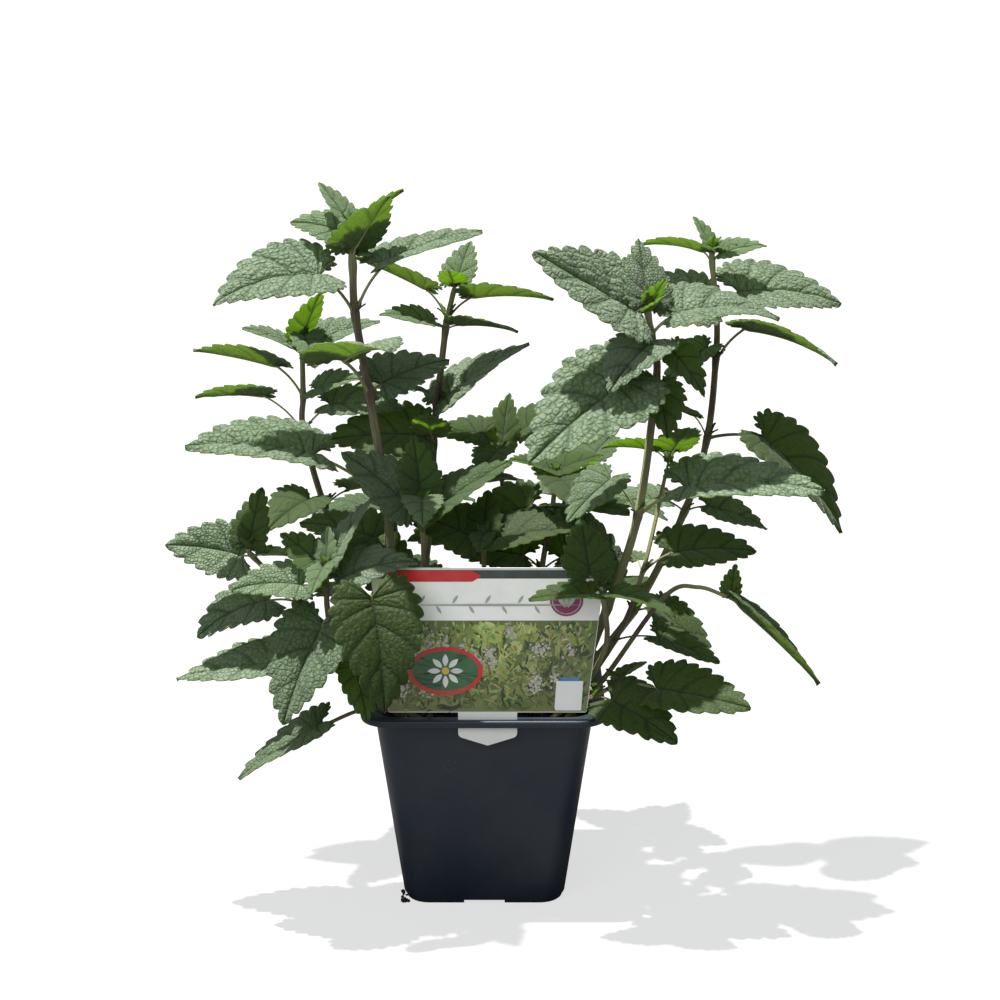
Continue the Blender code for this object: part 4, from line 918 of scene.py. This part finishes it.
for ax, ay in ((1, 0), (0, 1), (-1, 0), (0, -1)):
    deep, wide = potForm["notchDeep"], potForm["notchWide"] / 2
    middle, half = base - 0.6 - (deep + wall) / 2, ((deep + wall) / 2, wide + wall)
    arches.append(makeBlock((ax * middle, ay * middle), half if ax else half[::-1], 1.5, 3.5))
    middle, half = base + 1.2 - deep / 2, (deep / 2 + 2, wide)
    high = potForm["notchHigh"]
    holes.append(makeBlock((ax * middle, ay * middle), half if ax else half[::-1], -high, high))
    holes.append(roundBlock(potForm["drainAt"] * (ax - ay), potForm["drainAt"] * (ax + ay), -2.0, 3.6,
                            potForm["drain"]))
holes.append(makeBlock((labelForm["x"], labelForm["y"]), (potForm["slotHalf"], potForm["slotWide"] / 2),
                       top - 4, top + 4))
cutPiece(pot, arches, "UNION")
cutPiece(pot, holes, "DIFFERENCE")
pot.data.polygons.foreach_set("use_smooth", np.ones(len(pot.data.polygons), bool))
pot.data.set_sharp_from_angle(angle=radians(potForm["sharpFrom"]))
print("pot", len(pot.data.polygons))


# peat

peatForm = {
    "top": 101.0, "bottom": 4.2, "gap": 0.3, "rings": 64,
    "crumbs": 900, "crumbSize": 1.7, "grit": 110, "gritSize": 1.1, "spread": 54,
    "spill": 16, "spillSize": 1.4, "spillAt": (-42.8, -41.0, 3.6), "spillSpread": (1.3, 1.0, 3.6),
}


def cellEdges(x, y, seed):
    # how far a point is from the border between jittered cells, one in each unit square
    first, second = np.full(x.shape, 9.0), np.full(x.shape, 9.0)
    for i in (-1, 0, 1):
        for j in (-1, 0, 1):
            a, b = np.floor(x) + i, np.floor(y) + j
            jitter = [np.modf(np.abs(np.sin(a * p + b * q + seed) * 4375.85))[0]
                      for p, q in ((127.1, 311.7), (269.5, 183.3))]
            distance = np.hypot(a + 0.15 + 0.7 * jitter[0] - x, b + 0.15 + 0.7 * jitter[1] - y)
            second = np.minimum(second, np.maximum(first, distance))
            first = np.minimum(first, distance)
    return second - first


def peatHeight(x, y):
    # lumpy top of the peat, lower towards the wall
    lumps = 1.1 * np.sin(0.21 * x + 0.6) * np.cos(0.17 * y - 0.4) + 0.7 * np.sin(0.43 * x - 0.31 * y)
    return peatForm["top"] + lumps - 1.5 * (np.maximum(np.abs(x), np.abs(y)) / flange) ** 4


def peatGrain(x, y):
    # crumbly relief over the lumps, from two sizes of cells
    return (1.5 * np.clip(cellEdges(x / 4.2, y / 4.2, 3.0), 0, 0.7)
            + 0.8 * np.clip(cellEdges(x / 1.7, y / 1.7, 8.0), 0, 0.6) - 0.9)


def scatter(count, size, seed, place=None):
    # small irregular lumps lying on the peat, each a ball of a few faces
    rng = np.random.default_rng(seed)
    rows, sides = 4, 6
    tilt = np.linspace(0, pi, rows + 2)[1:-1, None]
    turn = wheel(sides)[None, :]
    ball = np.stack([np.sin(tilt) * np.cos(turn), np.sin(tilt) * np.sin(turn),
                     np.cos(tilt) * np.ones_like(turn)], -1).reshape(-1, 3)
    ball = np.vstack([ball, [0, 0, 1], [0, 0, -1]])
    total = rows * sides
    faces = [gridFaces(rows, sides, closed=True)]
    faces += [fan[:, ::-1] for fan in fans(sides, total, total + 1, total - sides)]
    if place is None:
        spots = rng.uniform(-peatForm["spread"], peatForm["spread"], (count, 2))
        place = np.column_stack([spots, peatHeight(spots[:, 0], spots[:, 1]) + 0.2])
    parts = []
    for spot in place:
        reach = size * rng.uniform(0.4, 1.2)
        stretch = reach * np.array([1, rng.uniform(0.6, 1), 0.8 * rng.uniform(0.6, 1)])
        shape = ball * stretch * rng.uniform(0.75, 1.2, (len(ball), 1))
        ahead, side = directions(degrees(rng.uniform(0, 2 * pi)))
        turned = shape[:, :1] * ahead + shape[:, 1:2] * side + shape[:, 2:] * up
        parts.append({"points": turned + spot, "faces": faces})
    return parts


def peatMaterial(name, dark, pale):
    material, tree, shader = newMaterial(name, Roughness=0.95, Specular_IOR_Level=0.2)
    grain, patches, _ = addGrain(tree, 0.0011, 0.009, 0.0)
    shade = blendColour(tree, patches.span(0.35, 0.7), dark, pale)
    setInputs(tree, shader, Base_Color=blendColour(tree, grain.span(0.55, 0.75) * 0.5, shade, pale))
    bump(tree, shader, grain, 0.8, 0.0006)
    return material


peat = peatMaterial("peat", (0.016, 0.010, 0.007), (0.060, 0.040, 0.026))
grit = peatMaterial("grit", (0.32, 0.30, 0.27), (0.55, 0.53, 0.49))
slope = (inner - wallFoot) / (top - 0.6 - 4.9)
rings = []
for z, grow in ((peatForm["bottom"], -1.5), (peatForm["bottom"] + 2.5, 0.0), (60.0, 0.0), (98.5, 0.0)):
    rings.append(roundedSquare(wallFoot + slope * (z - 4.9) - peatForm["gap"] + grow, 12.0, z))
half = rings[-1][:, 0].max()
for share in np.linspace(0.985, 0.02, peatForm["rings"]):
    ring = roundedSquare(half * share, 13.0 * share, 0.0)
    x, y = ring[:, 0], ring[:, 1]
    ring[:, 2] = peatHeight(x, y) + peatGrain(x, y) * min(1.0, 12 * (1 - share) + 0.25)
    rings.append(ring)
makePiece("peatFill", [makeLoft(rings)], peat, ["soil"])
makePiece("peatCrumbs", scatter(peatForm["crumbs"], peatForm["crumbSize"], 11), peat)
makePiece("peatGrit", scatter(peatForm["grit"], peatForm["gritSize"], 12), grit)
spots = np.random.default_rng(5).normal(size=(peatForm["spill"], 3))
spots = spots * peatForm["spillSpread"] + peatForm["spillAt"]
spots[:, 2] = np.clip(spots[:, 2], 0.9, 8.0)
spots[:, 0] = np.clip(spots[:, 0], -44.5, -41.5)
makePiece("spiltPeat", scatter(0, peatForm["spillSize"], 13, spots), peat)
print("peat", len(rings))


# label

inks = {"red": (0.55, 0.018, 0.022), "plum": (0.26, 0.022, 0.11), "pale": (0.90, 0.91, 0.88),
        "slate": (0.040, 0.055, 0.048), "white": (0.72, 0.73, 0.72), "grey": (0.36, 0.40, 0.36),
        "worn": (0.35, 0.36, 0.34)}
greens = [(0.30, 0.37, 0.09), (0.19, 0.26, 0.06), (0.12, 0.17, 0.045), (0.42, 0.47, 0.18),
          (0.045, 0.070, 0.022)]
cardMaterial, tree, shader = newMaterial("labelCard", Coat_Weight=0.15)
_, patches, dust = addGrain(tree, 0.0008, 0.02, 0.15)
white = blendColour(tree, patches, (0.60, 0.61, 0.60), (0.70, 0.70, 0.68))
setInputs(tree, shader, Base_Color=blendColour(tree, dust, white, (0.4, 0.4, 0.38)),
          Roughness=patches.span(0.3, 0.7, 0.30, 0.42))
inkMaterial, tree, shader = newMaterial("labelInk", Roughness=0.36, Coat_Weight=0.15)
ink, _ = attribute(tree, "ink")
_, patches, _ = addGrain(tree, 0.0012, 0.012, 0.0)
setInputs(tree, shader, Base_Color=blendColour(tree, patches.span(0.4, 0.8) * 0.12, ink, inks["worn"]))
card = labelForm


def cardHalf(z):
    # half the card's width, which grows evenly with the height
    return card["halfBottom"] + (card["halfTop"] - card["halfBottom"]) * (z - card["bottom"]) / (
        card["top"] - card["bottom"])


def roundCorners(corners, radii, steps=6):
    # closed outline with a parabola at each corner, which starts and ends a radius away from it
    corners, outline = np.asarray(corners, float), []
    for k, radius in enumerate(radii):
        here = corners[k]
        back, ahead = unit(corners[k - 1] - here), unit(corners[(k + 1) % len(corners)] - here)
        t = np.linspace(0, 1, steps)[:, None]
        a, b = here + back * radius, here + ahead * radius
        outline.append((1 - t) ** 2 * a + 2 * t * (1 - t) * here + t ** 2 * b)
    return np.vstack(outline)


def onCard(flat, depth):
    # points (x, z) of the card's face, depth in front of its middle plane
    return np.column_stack([flat[:, 0] + card["x"], np.full(len(flat), card["y"] - depth), flat[:, 1]])


def inkShape(points, faces, colour):
    # flat shape on the front of the card
    return {"points": onCard(points, card["thick"] / 2), "faces": [faces],
            "ink": np.tile(colour, (len(points), 1))}


def fillOutline(flat, colour):
    # flat shape printed on the card, a fan from its middle
    around = np.arange(len(flat))
    faces = np.stack([np.zeros(len(flat), int), around + 1, (around + 1) % len(flat) + 1], 1)
    area = np.sum(flat[:, 0] * np.roll(flat[:, 1], -1) - np.roll(flat[:, 0], -1) * flat[:, 1])
    return inkShape(np.vstack([flat.mean(0), flat]), faces[:, ::-1] if area < 0 else faces, colour)


def oval(x, z, wide, high, colour, turn=0.0, sides=40, inner=0.0):
    # an ellipse, or a ring whose hole is the share inner of it
    a, b = wide * np.cos(wheel(sides)), high * np.sin(wheel(sides))
    tilt = radians(turn)
    ring = np.stack([a * cos(tilt) - b * sin(tilt), a * sin(tilt) + b * cos(tilt)], 1)
    if not inner:
        return fillOutline(ring + (x, z), colour)
    faces = gridFaces(2, sides, closed=True, flip=True)
    return inkShape(np.vstack([ring * inner, ring]) + (x, z), faces, colour)


def brush(x, z, length, wide, turn, bend, colour):
    # a printed blade of grass or petal: a curved stroke, pointed at both ends
    t = np.linspace(0, 1, 7)
    angle = np.radians(turn + bend * t)
    ahead = np.stack([np.cos(angle), np.sin(angle)], 1)
    line = np.cumsum(ahead, 0) * length / 6 + (x, z)
    side = ahead[:, ::-1] * (-1, 1) * (wide / 2 * np.sin(pi * (0.06 + 0.9 * t)))[:, None]
    return inkShape(np.vstack([line + side, line - side]), gridFaces(2, 7), colour)


def band(z0, z1, colour):
    # a stripe over the card's whole width, between two heights
    low, high = cardHalf(z0) - 0.3, cardHalf(z1) - 0.3
    return fillOutline(np.array([(-low, z0), (low, z0), (high, z1), (-high, z1)]), colour)


left = [(0.0, card["tonguePoint"]), (-card["tongueHalf"], card["tongueLow"]),
        (-card["tongueHalf"], card["bottom"]), (-card["halfBottom"], card["bottom"]),
        (-card["halfTop"], card["top"])]
outline = roundCorners(left + [(-x, z) for x, z in reversed(left[1:])],
                       [0.6, 2.2, 0.5, 1.4, 2.0, 2.0, 1.4, 0.5, 2.2])[::-1]
triangles = np.array(tessellate_polygon([[Vector((x, z, 0)) for x, z in outline]]))
first = outline[triangles[:, 1]] - outline[triangles[:, 0]]
second = outline[triangles[:, 2]] - outline[triangles[:, 0]]
turned = first[:, 0] * second[:, 1] - first[:, 1] * second[:, 0] < 0
triangles[turned] = triangles[turned][:, ::-1]
count, around = len(outline), np.arange(len(outline))
after = (around + 1) % count
rim = np.stack([around, after, after + count, around + count], 1)
sheet = {"points": np.vstack([onCard(outline, depth * card["thick"]) for depth in (0.5, -0.5)]),
         "faces": [triangles, triangles[:, ::-1] + count, rim]}
makePiece("plantLabel", [sheet], cardMaterial, ["label"], sharp=30)

rng = np.random.default_rng(21)
meadowTop, bandTop, stripTop = 167.5, 190.2, 194.8
low = card["bottom"] + 0.4


def glow(x, z, colour, share):
    # the printed meadow is lighter at its top and left, and darkens to its foot
    light = (0.42 + 0.75 * (z - low) / (meadowTop - low)) * (1.0 + 0.18 * sin(0.11 * x + 0.6) - 0.002 * x)
    return tuple(min(c * light * (share or rng.uniform(0.75, 1.2)), 0.7) for c in colour)


prints = [band(low, meadowTop, (0.120, 0.155, 0.050)), band(meadowTop, bandTop, inks["pale"]),
          band(bandTop, stripTop, inks["slate"])]
for _ in range(card["tufts"]):
    wide, high = rng.uniform(3, 9), rng.uniform(2, 5)
    z = rng.uniform(low + high + 0.3, meadowTop - high - 0.3)
    x = rng.uniform(-cardHalf(z) + wide + 1.5, cardHalf(z) - wide - 1.5)
    prints.append(oval(x, z, wide, high, glow(x, z, greens[rng.integers(0, 5)], 0.95), 0, 14))
for k in range(card["strokes"]):
    z = rng.uniform(low + 1, meadowTop - 3)
    x = rng.uniform(-cardHalf(z) + 3, cardHalf(z) - 3)
    colour = greens[rng.integers(0, 5)]
    turn = rng.uniform(35, 145) if k % 3 else rng.uniform(-20, 200)
    length = min(rng.uniform(2.0, 6.5), meadowTop - 0.6 - z)
    wide, bend = rng.uniform(0.5, 1.6), rng.uniform(-50, 50)
    prints.append(brush(x, z, length, wide, turn, bend, glow(x, z, colour, 0)))
for _ in range(card["flowers"]):
    x, z = rng.uniform(-46, 46), rng.uniform(130, 161)
    prints.append(brush(x, z - 12, 13, 0.7, 90 + rng.uniform(-8, 8), 6, (0.15, 0.19, 0.06)))
    for _ in range(card["petals"]):
        size, tint = rng.uniform(0.45, 0.95), rng.uniform(0.75, 1.1)
        prints.append(oval(x + rng.normal() * 1.7, z + rng.normal() * 2.6, size, size * 0.8,
                           (0.46 * tint, 0.43 * tint, 0.42 * tint), rng.uniform(0, 90), 7))

ribbon = np.array([(-52.0, 188.6), (-8.0, 188.6), (-3.0, 191.6), (-8.0, 194.6), (-52.6, 194.6)])
sealAt, ovalAt = (41.0, 178.5), (-22.0, 140.0)
prints += [fillOutline(ribbon, inks["red"]), oval(*sealAt, 8.6, 8.6, inks["plum"]),
           oval(*sealAt, 7.6, 7.6, (0.55, 0.44, 0.50), inner=0.93)]
prints += [brush(sealAt[0], 173.5, 9.0, 2.4, turn, 0, (0.50, 0.56, 0.48)) for turn in (60, 90, 120)]
prints.append(brush(-50.0, 176.0, 84.0, 1.3, 0, 0, (0.36, 0.38, 0.36)))
prints += [brush(-44.0 + 8.5 * k, 176.3, 5.0, 1.5, 58 if k % 2 else -58, 0, inks["grey"]) for k in range(9)]
prints += [oval(*ovalAt, 19.5, 13.2, inks["red"]), oval(*ovalAt, 17.3, 11.1, (0.035, 0.13, 0.055))]
for turn in range(0, 360, 45):
    x, z = ovalAt[0] + 1.6 * cos(radians(turn)), ovalAt[1] + 1.6 * sin(radians(turn))
    prints.append(brush(x, z, 6.5, 3.0, turn, 0, inks["white"]))
prints.append(oval(*ovalAt, 2.0, 2.0, (0.60, 0.46, 0.05)))
tile = roundCorners([(35.0, 118.2), (49.0, 118.2), (50.0, 134.5), (36.0, 134.5)], [1.5, 0.4, 0.4, 0.4], 4)
strip = np.array([(38.0, 134.4), (48.0, 134.4), (48.2, 136.6), (38.2, 136.6)])
prints += [fillOutline(tile, inks["white"]), fillOutline(strip, (0.05, 0.18, 0.40))]
for k, shape in enumerate(prints):
    shape["points"][:, 1] -= 0.02 + card["layer"] * k
makePiece("labelPrint", prints, inkMaterial)
print("label", len(prints))


# stage, camera and light

stageForm = {"half": 14.0, "colours": ((0.11, 0.11, 0.11), (0.13, 0.13, 0.13))}
camera = {"place": (8.5, -1291.0, 557.0), "pitch": 14.8, "sensor": 36.0,
          "focal": 2480.0, "picture": 1000.0}      # the last two in pixels
studio = {"sun": 12.2, "sunSoft": 1.2, "sunFrom": (-0.20, 0.02, 1.0), "sunColour": (1.0, 0.97, 0.91),
          "sky": 0.305, "skyColour": (0.80, 0.91, 1.0, 1.0), "fill": 28.0, "fillSize": 1.6,
          "fillAt": (-0.8, -1.9, 1.5), "fillTo": (0.0, 0.0, 0.2), "floorGlow": 0.68}


def cameraRay(tree):
    # 1 where the camera looks straight at the floor or the sky, and 0 for the light they give
    return Value(tree, addNode(tree, "ShaderNodeLightPath").outputs["Is Camera Ray"])


mesh = bpy.data.meshes.new("paleFloor")
half = stageForm["half"]
corners = [(-half, -half, 0), (half, -half, 0), (half, half, 0), (-half, half, 0)]
mesh.from_pydata(corners, [], [(0, 1, 2, 3)])
floorMaterial, tree, shader = newMaterial("paleFloor", Roughness=0.9, Specular_IOR_Level=0.1,
                                          Emission_Color=(1.0, 1.0, 1.0, 1.0))
_, patches, _ = addGrain(tree, 0.002, 0.5, 0.0)
setInputs(tree, shader, Base_Color=blendColour(tree, patches, *stageForm["colours"]),
          Emission_Strength=cameraRay(tree) * studio["floorGlow"])
mesh.materials.append(floorMaterial)
floor = addObject("paleFloor", mesh)

lens = bpy.data.cameras.new("camera")
lens.sensor_width = camera["sensor"]
lens.lens = camera["focal"] * camera["sensor"] / camera["picture"]
lens.clip_start, lens.clip_end = 0.02, 50.0
view = addObject("camera", lens)
view.location = [v * mm for v in camera["place"]]
view.rotation_euler = (radians(90 - camera["pitch"]), 0.0, 0.0)
bpy.context.scene.camera = view

sun = addObject("sun", bpy.data.lights.new("sun", "SUN"))
sun.data.energy, sun.data.angle = studio["sun"], radians(studio["sunSoft"])
sun.data.color = studio["sunColour"]
sun.rotation_euler = Vector(studio["sunFrom"]).to_track_quat("Z", "Y").to_euler()
fill = addObject("fill", bpy.data.lights.new("fill", "AREA"))
fill.data.energy, fill.data.size = studio["fill"], studio["fillSize"]
fill.location = studio["fillAt"]
aim = Vector(studio["fillAt"]) - Vector(studio["fillTo"])
fill.rotation_euler = aim.to_track_quat("Z", "Y").to_euler()
world = bpy.data.worlds.new("studio")
bpy.context.scene.world = world
world.use_nodes = True
tree = world.node_tree
sky = tree.nodes["Background"].inputs
sky[0].default_value = studio["skyColour"]
setInput(tree, sky[1], cameraRay(tree).span(0.0, 1.0, studio["sky"], 1.0))
bpy.context.scene.view_settings.view_transform = "Standard"
print("stage, camera and light")
